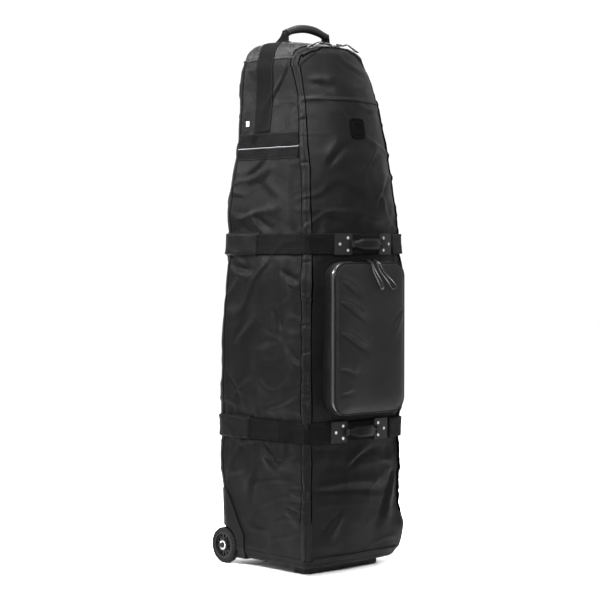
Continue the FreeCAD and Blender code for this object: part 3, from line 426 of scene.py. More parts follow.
def border_quads(rows, columns):
    """Faces that close the border between a grid and its copy."""
    count = rows * columns
    rim = np.concatenate([np.arange(columns), columns * np.arange(1, rows) + columns - 1,
                          count - 2 - np.arange(columns - 1), columns * np.arange(rows - 2, 0, -1)])
    turned = np.roll(rim, -1)
    return np.stack([turned, rim, rim + count, turned + count], -1)


def panel(name, z, s, body, slot, outside, inside, keep=None, thick=4.6):
    """Padded panel of two cloth faces over a grid of places: rows go up, columns go round."""
    z, s = np.broadcast_arrays(z, s)
    rows, columns = z.shape
    outer, inner = skin(z, s), skin(z, s, -thick)
    faces, border = quads(rows, columns), border_quads(rows, columns)
    if keep is not None:
        flat = outer.reshape(-1, 3)
        faces = faces[keep(flat[faces].mean(1))]
        border = border[keep(flat[border[:, :2]].mean(1))]
    girth = run_lengths(outer, 1)
    uv = np.stack([girth - girth[:, columns // 2][:, None], run_lengths(outer, 0)], -1)
    return dress(two_faced(name, outer, inner, uv, faces, border, 0), body, slot, outside, inside)


def ribbon(name, z, s, profile, body, slot, *materials, gap=6.0, swell=None):
    """Band, bead or belt swept over the surface: profile is a closed loop of (across, lift)."""
    z, s = spaced(z, s, gap)
    side = across(z, s)
    rows = []
    for distance, lift in profile:
        p, n, r = surface(*walk(z, s, side, distance))
        more = 0 if swell is None else swell(z, s, distance)
        rows.append(p + n * (r + lift + more)[..., None])
    grid = np.stack(rows, 1)
    count, around = grid.shape[:2]
    girth = np.array([a for a, _ in profile])
    along = run_lengths(grid, 0)[:, around // 2][:, None]
    uv = np.stack(np.broadcast_arrays(along, girth[None, :]), -1)
    return dress(mesh_piece(name, grid, tube_faces(count, around), uv), body, slot, *materials)


def band_profile(half, low, high, cells=8):
    """Flat band with softened edges."""
    top = [(a, high) for a in np.linspace(half - BAND_EDGE, BAND_EDGE - half, cells)]
    return [(half, low), (half, high - 0.5 * (high - low))] + top + [
        (-half, high - 0.5 * (high - low)), (-half, low)]


def bead_profile(centre, lift, radius, sides=10):
    return [(centre + radius * math.cos(t), lift + radius * math.sin(t)) for t in circle(sides)]


def path_points(z, s, distance, lift, pitch, shift=0.0):
    """Points, tangents and normals at an even pitch along a line beside a path."""
    z, s = spaced(z, s, 4.0)
    z, s = walk(z, s, across(z, s), distance)
    p, n, r = surface(z, s)
    p = p + n * (r + lift)[..., None]
    run = run_along(p)
    at = np.arange(pitch * (0.5 + shift), run[-1] - pitch * 0.25, pitch)
    flow = picked(at + 0.5, run, p) - picked(at - 0.5, run, p)
    return picked(at, run, p), unit(flow), unit(picked(at, run, n))


def studs(points, tangents, normals, size, sides=6):
    """Small rounded pegs lying along a line, as one cloud of points and faces."""
    long, wide, high = size
    side = np.cross(normals, tangents)
    rings = [(-0.5, 0.45), (-0.3, 1.0), (0.3, 1.0), (0.5, 0.45)]
    shape = np.array([(a * long, k * wide / 2 * math.cos(t), k * high / 2 * math.sin(t))
                      for a, k in rings for t in circle(sides)])
    cloud = (points[:, None] + shape[None, :, :1] * tangents[:, None]
             + shape[None, :, 1:2] * side[:, None] + shape[None, :, 2:] * normals[:, None])
    one = tube_faces(len(rings), sides)
    faces = [[i + k * len(shape) for i in f] for k in range(len(points)) for f in one]
    return cloud.reshape(-1, 3), faces


def join_clouds(name, clouds, body, slot, *materials):
    points, faces, start = [], [], 0
    for cloud, rings in clouds:
        points.append(cloud)
        faces += [[i + start for i in f] for f in rings]
        start += len(cloud)
    return dress(mesh_piece(name, np.concatenate(points), faces), body, slot, *materials)


# ---------------------------------------------------------------- materials

class Shader:
    """One Principled material put together from nodes."""

    def __init__(self, name, **sockets):
        self.material = bpy.data.materials.new(name)
        self.material.use_nodes = True
        self.tree = self.material.node_tree
        self.bsdf = self.tree.nodes["Principled BSDF"]
        for socket, value in sockets.items():
            self.bsdf.inputs[socket.replace("_", " ")].default_value = value

    def node(self, kind, inputs=(), **settings):
        made = self.tree.nodes.new(kind)
        for key, value in settings.items():
            setattr(made, key, value)
        for key, value in dict(inputs).items():
            if isinstance(value, bpy.types.NodeSocket):
                self.tree.links.new(value, made.inputs[key])
            else:
                made.inputs[key].default_value = value
        return made

    def math(self, operation, a, b=0.0):
        return self.node("ShaderNodeMath", {0: a, 1: b}, operation=operation).outputs[0]

    def times(self, a, b):
        return self.math("MULTIPLY", a, b)

    def sine(self, value):
        return self.math("SINE", value)

    def shaded(self, shade, tint):
        """The colour tint at half a shade, so that a shade of 1 gives half of it."""
        return self.blend(self.times(shade, 0.5), (0, 0, 0, 1), tint)

    def noise(self, vector, scale, detail=3.0, rough=0.55, distortion=0.0):
        return self.node("ShaderNodeTexNoise", {"Vector": vector, "Scale": scale, "Detail": detail,
                                                "Roughness": rough, "Distortion": distortion}
                         ).outputs["Fac"]

    def range(self, value, low, high, out_low, out_high):
        return self.node("ShaderNodeMapRange", {0: value, 1: low, 2: high, 3: out_low, 4: out_high},
                         clamp=True).outputs[0]

    def blend(self, factor, a, b):
        return self.node("ShaderNodeMix", {0: factor, 6: a, 7: b}, data_type="RGBA").outputs[2]

    def place(self, kind):
        return self.node("ShaderNodeTexCoord").outputs[kind]

    def scaled(self, vector, scale):
        return self.node("ShaderNodeMapping", {"Vector": vector, "Scale": scale}).outputs[0]

    def split(self, vector):
        return self.node("ShaderNodeSeparateXYZ", {0: vector}).outputs

    def bump(self, *layers):
        """Normal from pairs of height and distance in metres, laid over each other."""
        normal = None
        for height, distance in layers:
            inputs = {"Height": height, "Distance": distance, "Strength": 1.0}
            if normal is not None:
                inputs["Normal"] = normal
            normal = self.node("ShaderNodeBump", inputs).outputs[0]
        self.tree.links.new(normal, self.bsdf.inputs["Normal"])

    def finish(self, **links):
        for socket, value in links.items():
            self.tree.links.new(value, self.bsdf.inputs[socket.replace("_", " ")])
        return self.material


def tone(value):
    """Faintly blue grey."""
    return (value, value, value * 1.06, 1.0)


def cloth(name, value, pitch=0.0016, rough=0.5, gloss=0.06, crumple=0.0004, coarse=0.00016,
          uneven=0.35):
    """Woven nylon: threads, slubs, soft crumples, faint rubbing and uneven dye, and painted shade
    that darkens the hollows between the threads.
    """
    shader = Shader(name, Sheen_Weight=0.006, Sheen_Roughness=0.45, Specular_IOR_Level=gloss)
    uv, solid = shader.place("UV"), shader.place("Object")
    u, v, _ = shader.split(uv)
    k = 2 * math.pi / pitch
    threads = shader.times(shader.sine(shader.times(u, k)), shader.sine(shader.times(v, k)))
    threads = shader.math("MULTIPLY_ADD", threads, 0.5)
    threads.node.inputs[2].default_value = 0.5
    slub = shader.noise(shader.scaled(uv, (900, 120, 1)), 1.0, 2.0)
    cloud = shader.noise(solid, 5.0, 5.0, 0.6)
    rub = shader.noise(solid, 34.0, 6.0, 0.7, 0.4)
    shade = shader.range(cloud, 0.3, 0.72, 1 - uneven, 1 + uneven)
    # Painted shade: the colour is darker in the hollows between threads and lighter on their crowns.
    shade = shader.times(shade, shader.range(threads, 0, 1, 0.72, 1.16))
    shade = shader.times(shade, shader.range(slub, 0.3, 0.7, 0.9, 1.1))
    shade = shader.math("ADD", shade, shader.range(rub, 0.62, 0.86, 0.0, 0.6))
    colour = shader.shaded(shade, tone(2 * value))
    roughness = shader.range(rub, 0.3, 0.75, rough + 0.08, rough - 0.1)
    folds = shader.noise(shader.scaled(solid, (1, 1, 1.6)), 15.0, 3.0, 0.5, 0.9)
    fine = shader.noise(solid, 62.0, 4.0, 0.6, 0.5)
    shader.bump((folds, crumple * 3.2), (fine, crumple * 0.55), (slub, coarse * 0.5),
                (threads, coarse))
    return shader.finish(Base_Color=colour, Roughness=roughness)


def webbing(name, value, rib=0.0024, rough=0.62, shine=0.02):
    """Ribbed webbing: raised ribs one way, a herringbone of threads the other, with painted shade in
    the grooves and painted light on the ribs.
    """
    shader = Shader(name, Sheen_Weight=0.4 * shine, Sheen_Roughness=0.5,
                    Specular_IOR_Level=shine)
    uv, solid = shader.place("UV"), shader.place("Object")
    u, v, _ = shader.split(uv)
    k = 2 * math.pi / rib
    tilt = shader.math("PINGPONG", v, 0.0032)
    thread = shader.sine(shader.times(shader.math("ADD", u, tilt), k * 1.7))
    ribs = shader.math("ABSOLUTE", shader.sine(shader.times(v, k / 4)))
    height = shader.math("ADD", ribs, shader.times(thread, 0.35))
    cloud = shader.noise(solid, 14.0, 4.0)
    fuzz = shader.noise(solid, 800.0, 2.0)
    # Painted shade and light: darker in the grooves, lighter on the raised ribs and threads.
    shade = shader.times(shader.range(height, -0.3, 1.3, 0.66, 1.2),
                         shader.range(cloud, 0.3, 0.7, 0.8, 1.2))
    shade = shader.times(shade, shader.range(fuzz, 0.3, 0.7, 0.9, 1.12))
    colour = shader.shaded(shade, tone(2 * value))
    shader.bump((fuzz, 0.0001), (height, 0.0004))
    return shader.finish(Base_Color=colour, Roughness=shader.range(cloud, 0.3, 0.7, rough + 0.06,
                                                                   rough - 0.08))


def moulded(name, value, rough=0.4, grain=520.0, depth=0.00012, coat=0.0, scuffs=0.4, shine=0.09):
    """Moulded plastic or rubber: fine spark grain, flow marks and light scuffs."""
    shader = Shader(name, Coat_Weight=coat, Coat_Roughness=0.2, Specular_IOR_Level=shine)
    solid = shader.place("Object")
    spark = shader.noise(solid, grain, 3.0, 0.6)
    cloud = shader.noise(solid, 18.0, 4.0, 0.6)
    scratch = shader.noise(shader.scaled(solid, (60, 700, 90)), 1.0, 4.0, 0.7, 0.6)
    marks = shader.range(scratch, 0.62, 0.74, 0.0, scuffs)
    shade = shader.math("ADD", shader.range(cloud, 0.3, 0.7, 0.78, 1.15), marks)
    colour = shader.shaded(shade, tone(2 * value))
    roughness = shader.math("ADD", shader.range(cloud, 0.3, 0.7, rough - 0.06, rough + 0.1),
                            shader.times(marks, 0.3))
    shader.bump((cloud, 0.0002), (spark, depth))
    return shader.finish(Base_Color=colour, Roughness=roughness)


def metal(name, colour, rough=0.28, brush=(400, 400, 30)):
    shader = Shader(name, Metallic=1.0)
    solid = shader.place("Object")
    lines = shader.noise(shader.scaled(solid, brush), 1.0, 4.0, 0.6)
    cloud = shader.noise(solid, 60.0, 3.0)
    shade = shader.times(shader.range(lines, 0.3, 0.7, 0.82, 1.08),
                         shader.range(cloud, 0.3, 0.7, 0.85, 1.05))
    tint = shader.shaded(shade, (2 * colour[0], 2 * colour[1], 2 * colour[2], 1))
    shader.bump((lines, 0.00005))
    return shader.finish(Base_Color=tint, Roughness=shader.range(cloud, 0.3, 0.7, rough - 0.08,
                                                                rough + 0.14))


def cord_cover():
    """Braided cover of a pull cord: black with pale flecks in its diamonds."""
    shader = Shader("cord_braid", Sheen_Weight=0.02, Sheen_Roughness=0.5, Specular_IOR_Level=0.05)
    u, v, _ = shader.split(shader.place("UV"))

    def twist(operation, lean, count):
        """Stripes that wind round the cord count times, one way or the other."""
        turn = shader.math(operation, u, shader.times(v, lean))
        return shader.sine(shader.times(turn, count * 2 * math.pi))

    braid = shader.times(twist("ADD", 340.0, 4), twist("SUBTRACT", 340.0, 4))
    fleck = shader.times(twist("ADD", 110.0, 1), twist("SUBTRACT", 95.0, 1))
    pale = shader.range(fleck, 0.62, 0.78, 0.0, 1.0)
    dirt = shader.noise(shader.place("Object"), 300.0, 3.0)
    colour = shader.blend(pale, (0.002, 0.002, 0.0022, 1), (0.45, 0.45, 0.44, 1))
    colour = shader.blend(shader.range(dirt, 0.4, 0.8, 0.0, 0.3), colour, (0.012, 0.012, 0.012, 1))
    shader.bump((braid, 0.00016))
    return shader.finish(Base_Color=colour, Roughness=shader.range(dirt, 0.3, 0.7, 0.55, 0.75))


side_nylon = cloth("side_nylon", 0.0019, rough=0.42, gloss=0.036)
front_nylon = cloth("front_nylon", 0.0019, rough=0.43, gloss=0.034)
# Its higher gloss is the cloth's own finish; its value, more than twice the sides', is painted light
# on the upward-facing roof.
roof_nylon_painted_light = cloth("roof_nylon_painted_light", 0.0042, rough=0.38, gloss=0.10, crumple=0.0004)
base_nylon = cloth("base_nylon", 0.0018, gloss=0.03, pitch=0.0022, rough=0.5, coarse=0.0003)
pocket_nylon = cloth("pocket_nylon", 0.0034, rough=0.40, gloss=0.06)
lining = cloth("lining", 0.022, pitch=0.003, rough=0.7, gloss=0.1, uneven=0.2)
quilt = cloth("quilt", 0.035, pitch=0.0024, rough=0.75, gloss=0.1, uneven=0.2)
belt_webbing = webbing("belt_webbing", 0.0009)
band_webbing = webbing("band_webbing", 0.0014, rib=0.0018)
strap_webbing = webbing("strap_webbing", 0.0014)
tape_cloth = cloth("tape_cloth", 0.0024, gloss=0.05, pitch=0.001, crumple=0.0001, uneven=0.2)
flap_nylon = cloth("flap_nylon", 0.0021, rough=0.44, gloss=0.04, crumple=0.0004)
pale_thread = webbing("pale_thread", 0.028, rib=0.0008)
coil_plastic = moulded("coil_plastic", 0.0015, rough=0.3, depth=0.00004)
shiny_tape = moulded("shiny_tape", 0.012, rough=0.2, grain=300.0, depth=0.00005, coat=0.9)
# Near-black with no reflection at all: painted shade. Its beads draw the dark seam lines of shaded
# gaps at the storm flap edges, the zip cords and the corner patches.
painted_shade_welt = webbing("painted_shade_welt", 0.0004, rib=0.0012, rough=0.9, shine=0.0)
cap_silver = metal("cap_silver", (0.7, 0.7, 0.71), 0.25, (90, 90, 90))
black_plastic = moulded("black_plastic", 0.0035, rough=0.42)
housing_plastic = moulded("housing_plastic", 0.0014, shine=0.05, rough=0.5, depth=0.0002)
foot_plastic = moulded("foot_plastic", 0.0030, rough=0.5, depth=0.0002)
hub_plastic = moulded("hub_plastic", 0.0080, rough=0.38, scuffs=0.8)
tyre_rubber = moulded("tyre_rubber", 0.0035, rough=0.7, grain=260.0, depth=0.0002, scuffs=0.8)
grip_rubber = moulded("grip_rubber", 0.0042, rough=0.45, depth=0.00008, coat=0.12)
badge_rubber = moulded("badge_rubber", 0.0008, rough=0.5, depth=0.00005, scuffs=0.1,
                        shine=0.012)
piping_cover = moulded("piping_cover", 0.0018, rough=0.5, depth=0.00005, shine=0.05)
board_plastic = moulded("board_plastic", 0.0090, rough=0.55, grain=180.0, depth=0.0003)
rivet_steel = metal("rivet_steel", (0.42, 0.42, 0.43), 0.3)
bearing_steel = metal("bearing_steel", (0.5, 0.5, 0.51), 0.3)
slider_black = metal("slider_black", (0.045, 0.045, 0.05), 0.3)
braid = cord_cover()
reflective = moulded("reflective_bead", 0.13, rough=0.4, grain=900.0, depth=0.00006)
label_white = cloth("label_white", 0.62, pitch=0.0009, rough=0.7, crumple=0.00005, uneven=0.08)

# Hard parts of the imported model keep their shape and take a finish.
HARD = [
    (housing_plastic, "left_wheel_housing", "right_wheel_housing"),
    (foot_plastic, "front_foot"),
    (hub_plastic, "left_hub", "right_hub"),
    (bearing_steel, "left_bearings", "right_bearings", "grab_handle_pins"),
    (rivet_steel, "belt_rivets"),
    (black_plastic, "axle_bolts", "belt_plates", "top_handle_pins", "pocket_pull_left",
     "pocket_pull_right", "main_pull_left", "main_pull_right"),
    (slider_black, "pocket_slider_left", "pocket_slider_right", "main_slider_left",
     "main_slider_right"),
    (board_plastic, "back_board", "base_board")]
for material, *names in HARD:
    for name in names:
        nodes[name].data.materials.clear()
        nodes[name].data.materials.append(material)

mirrored = ((1, "right"), (-1, "left"))

# ---------------------------------------------------------------- padded panels of shell and door

RING = stations((0, 1, 27), (1, 2, 9), (2, 3, 27), (3, 4, 11), (4, 5, 17))
RING = np.concatenate([-RING[::-1], RING[1:]])


def clear_of_housings(p):
    """False where the moulded wheel housings stand in for the cloth."""
    x, y, z = np.abs(p[:, 0]), p[:, 1], p[:, 2]
    front = 87 + np.clip(z - 75, 0, None) * 65 / 113
    return ~((x > 123) & (y > front + 3) & (z < 185))


rows = np.linspace(SILL, ROOF_SEAM, 262)[:, None]
first = side_place(rows, split_y(rows) + 0.4)
places = first + (REAR_SEAM - first) * np.linspace(0, 1, 60)[None, :]
around_back = np.linspace(REAR_SEAM, 10 - REAR_SEAM, 90)[None, :]
for name, where, *replaced in (
        ("left_side_cloth", -places[:, ::-1], "left_side_panel"),
        ("right_side_cloth", places, "right_side_panel"),
        ("back_cloth", around_back, "back_panel", "rear_corner_panels")):
    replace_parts(panel(name, rows, where, "shell", "body_cloth", side_nylon, lining,
                      clear_of_housings), *replaced)
floor_rows = np.concatenate([np.linspace(FLOOR - 150, 14, 26), np.linspace(16, SILL, 14)])[:, None]
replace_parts(panel("base_cloth", floor_rows, RING[None, :], "shell", "base_cloth", base_nylon,
                  lining, clear_of_housings, thick=3.2), "base_panel")


def over_roof(s, gap=0.0):
    """Height of the zip at places round the roof, or of the roof seam behind the zip's turn."""
    return np.where(base(np.full(s.shape, ROOF_SEAM), s)[..., 1] < ROOF_ZIP_Y,
                    zip_height(s) + gap, ROOF_SEAM)


roof_edge = over_roof(RING, 0.2)[None, :]
up = np.concatenate([np.linspace(0, 1, 16)[:-1], 1 + np.linspace(0, 1, 20) ** 1.2])[:, None]
roof_rows = np.where(up < 1, roof_edge + (ROOF - roof_edge) * up, ROOF + 82.5 * (up - 1))
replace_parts(panel("roof_cloth", roof_rows, RING[None, :], "shell", "roof_cloth", roof_nylon_painted_light,
                  lining), "roof_panel")

part = stations((0, 0.9, 40), (0.9, 1, 9))
part = np.concatenate([-part[::-1], part[1:]])[None, :]


def door_place(z, part):
    edge = split_place(z)
    a = np.abs(part)
    return np.sign(part) * np.where(a < 0.9, a / 0.9, 1 + (a - 0.9) / 0.1 * (edge - 1))


top_place = door_place(np.array([[ROOF_SEAM]]), part)
top_height = over_roof(top_place, -0.2)
up = stations((0, 1, 262), (1, 2, 12))[:, None]
door_rows = np.where(up < 1, SILL + 0.4 + (SHOULDER - SILL) * up,
                     SHOULDER + (top_height - SHOULDER) * (up - 1))
door_cloth = panel("door_cloth", door_rows, door_place(np.minimum(door_rows, ROOF_SEAM), part),
                   "door", "front_cloth", front_nylon, lining)
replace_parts(door_cloth, "front_panel")

# ---------------------------------------------------------------- main zip and storm flaps

climb = np.linspace(SILL + 1, ROOF_SEAM, 400)
side_line = split_place(climb)
turn = np.linspace(side_line[-1], -side_line[-1], 160)[1:-1]
zip_z = np.concatenate([climb, over_roof(turn), climb[::-1]])
zip_s = np.concatenate([side_line, turn, -side_line[::-1]])


def tape_profile(sign):
    return [(sign * a, g) for a, g in ((0.7, 0.1), (0.7, 1.3), (2.4, 1.3), (4.5, 1.1), (8, 1.1),
                                       (10.6, 1.0), (11, 0.1))][::-sign]


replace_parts(ribbon("door_zip_tape", zip_z, zip_s, tape_profile(1), "door", "zip_tape", tape_cloth),
            "main_zip_door_tape")
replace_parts(ribbon("shell_zip_tape", zip_z, zip_s, tape_profile(-1), "shell", "zip_tape",
                   tape_cloth), "main_zip_shell_tape")
for name, sign, body in (("door_zip_teeth", 1, "door"), ("shell_zip_teeth", -1, "shell")):
    teeth = studs(*path_points(zip_z, zip_s, 1.3 * sign, 1.35, 2.8, 0.25 * sign), (1.7, 3.6, 1.9))
    join_clouds(name, [teeth], body, "zip_tape", coil_plastic)

FLAP = (135, 1165)
TACKS = (184, 210, 429, 546, 611, 671, 763, 1001, 1107)
WELT = [(13.4, 0.2), (13.4, 1.7), (12.9, 2.2), (12.0, 2.8), (11.0, 3.3), (10.2, 3.2), (10.4, 0.2)]


def pucker(z, s, distance):
    """Tacks and slanting wrinkles across a storm flap."""
    tacks = sum(np.exp(-((z - t - 0.12 * distance) / 3.0) ** 2)
                - 0.5 * np.exp(-((z - t - 10) / 7) ** 2) for t in TACKS)
    place = np.stack([np.full(z.shape, distance * 0.6), 0 * z, z + 0.8 * distance], -1)
    return (-1.7 * tacks + 0.7 * waves(place, 58, 61)) * smooth(11 - abs(distance), 0, 3)


flap_z = np.linspace(*FLAP, 300)
for sign, name in mirrored:
    line = flap_z[::sign], sign * split_place(flap_z[::sign])
    shape = [(10.6, 1.2)] + [(a, 1.9 + 2.4 * math.cos(a * math.pi / 23) ** 0.6)
                             for a in np.linspace(10.8, -10.8, 13)]
    shape += [(-10.6, 1.2)] + [(a, 1.3 + 1.4 * math.cos(a * math.pi / 23))
                               for a in np.linspace(-8, 8, 7)]
    flap = ribbon(f"{name}_storm_flap", *line, shape, "door", "front_cloth", flap_nylon, gap=2.4,
                  swell=pucker)
    # Near-black beads over the flap edges: painted shade for the dark line at each edge, also
    # covering the edge's highlight.
    for edge in (1, -1):
        ribbon(f"{name}_flap_{'front' if edge > 0 else 'rear'}_welt", *line,
               [(edge * a - 0.6 + 0.6 * edge, g) for a, g in WELT[::edge]], "door",
               "front_cloth", painted_shade_welt, gap=3.0)
    if sign > 0:
        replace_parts(flap, "storm_flaps")

# ---------------------------------------------------------------- belts, sleeves and tails

def gathers(z, s, distance):
    """Bunched ribs where a belt is drawn tight: on its side run below, its front run above."""
    x, y, _ = np.moveaxis(base(z, s), -1, 0)
    low = (z < 600) * smooth(y, -104, -96) * smooth(-40 - y, 0, 8)
    high = (z > 600) * (y < -100) * smooth(-62 - x, 0, 6) * smooth(x, -108, -102)
    rib = np.where(z < 600, y, x)
    return -1.5 * (low + high) * (0.5 + 0.5 * np.cos(2 * math.pi * rib / 8.0)) ** 4


for row, z in (("upper", BELTS[0]), ("lower", BELTS[1])):
    edge = float(split_place(z))
    belt = band_profile(BELT_HALF, 1.6, 5.0, 14)
    height = np.full(200, z)
    behind = float(side_place(z, split_y(z) + 0.4))
    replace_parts(ribbon(f"{row}_belt_webbing", height, np.linspace(behind, 10 - behind, 200), belt,
                       "shell", "webbing", belt_webbing, gap=2.0, swell=gathers), f"{row}_belt")
    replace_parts(ribbon(f"{row}_front_webbing", height, np.linspace(-edge, edge, 200), belt,
                       "door", "webbing", belt_webbing, gap=2.0, swell=gathers),
                f"{row}_front_belt")
    begin = float(side_place(z, 39 if row == "upper" else 64))
    tunnel = [(29.5, 0.2), (29.5, 1.2), (27, 1.9), (25.8, 6.2)]
    tunnel += [(a, 7.1) for a in np.linspace(24.5, -24.5, 10)]
    tunnel += [(-25.8, 6.2), (-27, 1.9), (-29.5, 1.2), (-29.5, 0.2)]
    sleeve = ribbon(f"{row}_belt_sleeve", height, np.linspace(begin, 10 - begin, 200), tunnel,
                    "shell", "body_cloth", side_nylon)
    if row == "upper":
        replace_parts(sleeve, "belt_sleeves")
    tail_start = float(front_place(z, 101))
    tail = [(24.5, 4.9), (24.5, 9.6), (23.8, 10.3)] + [(a, 10.3) for a in (16, 8, 0, -8, -16)]
    tail += [(-23.8, 10.3), (-24.5, 9.6), (-24.5, 4.9)]
    ribbon(f"{row}_belt_tail", np.full(40, z), np.linspace(tail_start, edge - 0.25, 40), tail,
           "door", "webbing", strap_webbing, gap=3.0)

# ---------------------------------------------------------------- side trims and seams

BAND_Z, BAND_HALF = 1047.5, 33.5
band_start = float(side_place(BAND_Z, split_y(BAND_Z) + 11.5))
stitch_clouds = {"shell": [], "door": []}


def stitch(body, z, s, *offsets, lift=1.5):
    """Rows of stitches beside a path, kept until each body's are joined."""
    for offset in offsets:
        line = path_points(z, s, offset, lift, 4.6)
        stitch_clouds[body].append(studs(*line, (3.3, 0.75, 0.6), 5))


band_heights, band_places = np.full(80, BAND_Z), np.linspace(band_start, REAR_SEAM, 80)
for sign, name in mirrored:
    s = sign * band_places[::sign]
    band = ribbon(f"{name}_side_band", band_heights, s, band_profile(BAND_HALF, 0.1, 1.5, 12),
                  "shell", "webbing", band_webbing)
    bead = ribbon(f"{name}_reflective_bead", band_heights, s, bead_profile(-4.5, 1.8, 1.0),
                  "shell", "reflective", reflective, gap=4.0)
    stitch("shell", band_heights, s, 31.5, -31.5, -7.6, lift=1.6)
    rise = np.concatenate([np.linspace(1081, 1300, 110), np.linspace(1301, 1316, 10)])
    lean = sign * side_place(np.minimum(rise, 1299), 50 - 0.02 * (rise - 1081))
    strap = ribbon(f"{name}_side_webbing", rise, lean, band_profile(29.5, 0.2, 1.7, 12), "shell",
                   "webbing", band_webbing)
    stitch("shell", rise, lean, 27, -27, lift=1.8)
    seam = np.linspace(190, ROOF_SEAM, 300)
    ribbon(f"{name}_rear_piping", seam, np.full(300, sign * REAR_SEAM), bead_profile(0, 0.6, 1.3),
           "shell", "body_cloth", side_nylon, gap=5.0)
    stitch("shell", seam, np.full(300, sign * REAR_SEAM), 5.5, -5.5, lift=0.25)
    if sign > 0:
        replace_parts(band, "side_bands")
        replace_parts(bead, "reflective_piping")
        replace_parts(strap, "side_webbing")

tag_rise = np.linspace(1099, 1112, 12)
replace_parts(ribbon("white_side_tag", tag_rise, -side_place(tag_rise, 103),
                   band_profile(5, 1.0, 2.4, 5), "shell", "tag_white", label_white, gap=2.0),
            "side_tag")

roof_line_s = np.linspace(float(side_line[-1]) + 0.02, 10 - float(side_line[-1]) - 0.02, 300)
roof_line_z = np.full(300, ROOF_SEAM)
ribbon("roof_seam_fold", roof_line_z, roof_line_s, [(3.2, 0.1), (3.2, 0.8), (1, 1.5), (-2.5, 1.4),
                                                    (-3.4, 0.2)], "shell", "roof_cloth", roof_nylon_painted_light)
stitch("shell", roof_line_z, roof_line_s, 1.6, 6.0, lift=1.2)
sill_edge = float(side_place(SILL, split_y(SILL)))
sill_s = np.linspace(sill_edge, 10 - sill_edge, 300)
ribbon("base_binding", np.full(300, SILL - 1.0), sill_s, band_profile(4, 0.1, 0.9, 6), "shell",
       "base_cloth", base_nylon)
for sign in (1, -1):
    stitch("door", flap_z[::sign], sign * split_place(flap_z[::sign]), 9.6, -9.6, lift=3.1)

# Front: seam under the hood panel, corner patches, edge stitching beside the zip
HOOD_SEAM = 1159.0
seam_z = np.full(160, HOOD_SEAM)
seam_s = np.linspace(-1, 1, 160) * (float(split_place(HOOD_SEAM)) - 0.42)
ribbon("hood_front_seam", seam_z, seam_s, [(4, 0.1), (4, 0.6), (1.5, 1.3), (-3, 1.7), (-4.2, 1.3),
                                           (-4.4, 0.1)][::-1], "door", "front_cloth", front_nylon)
stitch("door", seam_z, seam_s, 0.5, 5.0, lift=1.5)
for sign in (1, -1):
    patch_s = sign * np.linspace(0.53, 1.42, 60)
    top = float(zip_height(np.array([0.53]))[0])
    patch_z = np.interp(np.abs(patch_s), [0.53, 1.0, 1.42], [top - 3, 1243, 1216])
    # Corner patches in the near-black, unreflecting welt material: painted shade.
    ribbon(f"corner_patch_{'right' if sign > 0 else 'left'}", patch_z, patch_s,
           [(1.4, 0.1), (1.4, 0.9), (0, 1.2), (-1.4, 0.9), (-1.4, 0.1)], "door", "front_cloth",
           painted_shade_welt, gap=4.0)
    stitch("door", patch_z, patch_s, 0.0, 5.0 * sign, lift=1.1)
above, below = zip_z > FLAP[1] - 2, zip_z < FLAP[0] - 2
# Cords beside the zip above the flaps, in the near-black, unreflecting welt material: painted shade.
for edge, body in ((1, "door"), (-1, "shell")):
    ribbon(f"{body}_zip_cord", zip_z[above], zip_s[above], bead_profile(edge * 12.2, 0.6, 1.3, 8),
           body, "front_cloth", painted_shade_welt, gap=4.0)
for bare in (np.flatnonzero(above), *np.split(np.flatnonzero(below), 2)):
    for body, offset in (("door", 12.4), ("shell", -12.4)):
        stitch(body, zip_z[bare], zip_s[bare], offset, lift=0.3)

# Cloth hinge that joins the door to the base along the front
hinge_z = np.full(120, SILL)
hinge_s = np.linspace(-0.98, 0.98, 120)
hinge = ribbon("door_hinge_cloth", hinge_z, hinge_s,
               [(a, 0.2) for a in (-7, -3.5, 0, 3.5, 7)]
               + [(a, 1.6) for a in (7, 3.5, 0, -3.5, -7)],
               "shell", "base_cloth", base_nylon)
hinge.parent = None
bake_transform(hinge)

# ---------------------------------------------------------------- front pocket

P_HALF, P_LOW, P_HIGH, P_CORNER = 118.0, 395.0, 760.0, 35.0
P_MID = (P_LOW + P_HIGH) / 2
LID_EDGE, LID_CROWN, LID_EASE = -197.4, 8.6, 11     # depth of its edge, rise, reach of the rise


def pocket_loop(count):
    """Points (x, z), outward directions and run of the pocket's rounded outline."""
    cx, low, high = P_HALF - P_CORNER, P_LOW + P_CORNER, P_HIGH - P_CORNER
    straight = [("right", high - low), ("top", 2 * cx), ("left", high - low), ("bottom", 2 * cx)]
    bend = P_CORNER * math.pi / 2
    total = sum(length for _, length in straight) + 4 * bend
    at = np.linspace(0, total, count, endpoint=False)
    points, ways = np.zeros((count, 2)), np.zeros((count, 2))
    corners = [(cx, high, 0), (-cx, high, 90), (-cx, low, 180), (cx, low, 270)]
    start = 0.0
    for (_, length), (x, z, turn_from) in zip(straight, corners):
        a = math.radians(turn_from)
        out, along = np.array([math.cos(a), math.sin(a)]), np.array([-math.sin(a), math.cos(a)])
        on = (at >= start) & (at < start + length)
        points[on] = (np.array([x, z]) + out * P_CORNER - along * length
                      + along * (at[on] - start)[:, None])
        ways[on] = out
        start += length
        on = (at >= start) & (at < start + bend)
        t = a + (at[on] - start) / P_CORNER
        ways[on] = np.stack([np.cos(t), np.sin(t)], -1)
        points[on] = np.array([x, z]) + P_CORNER * ways[on]
        start += bend
    return points, ways, at


def door_face(x, z):
    """Depth of the door's cloth behind a point of the front."""
    return skin(z, front_place(z, x))[..., 1]


loop, ways, run = pocket_loop(320)
back = door_face(loop[:, 0] * 0.985, loop[:, 1])
P_FRONT = -193.6


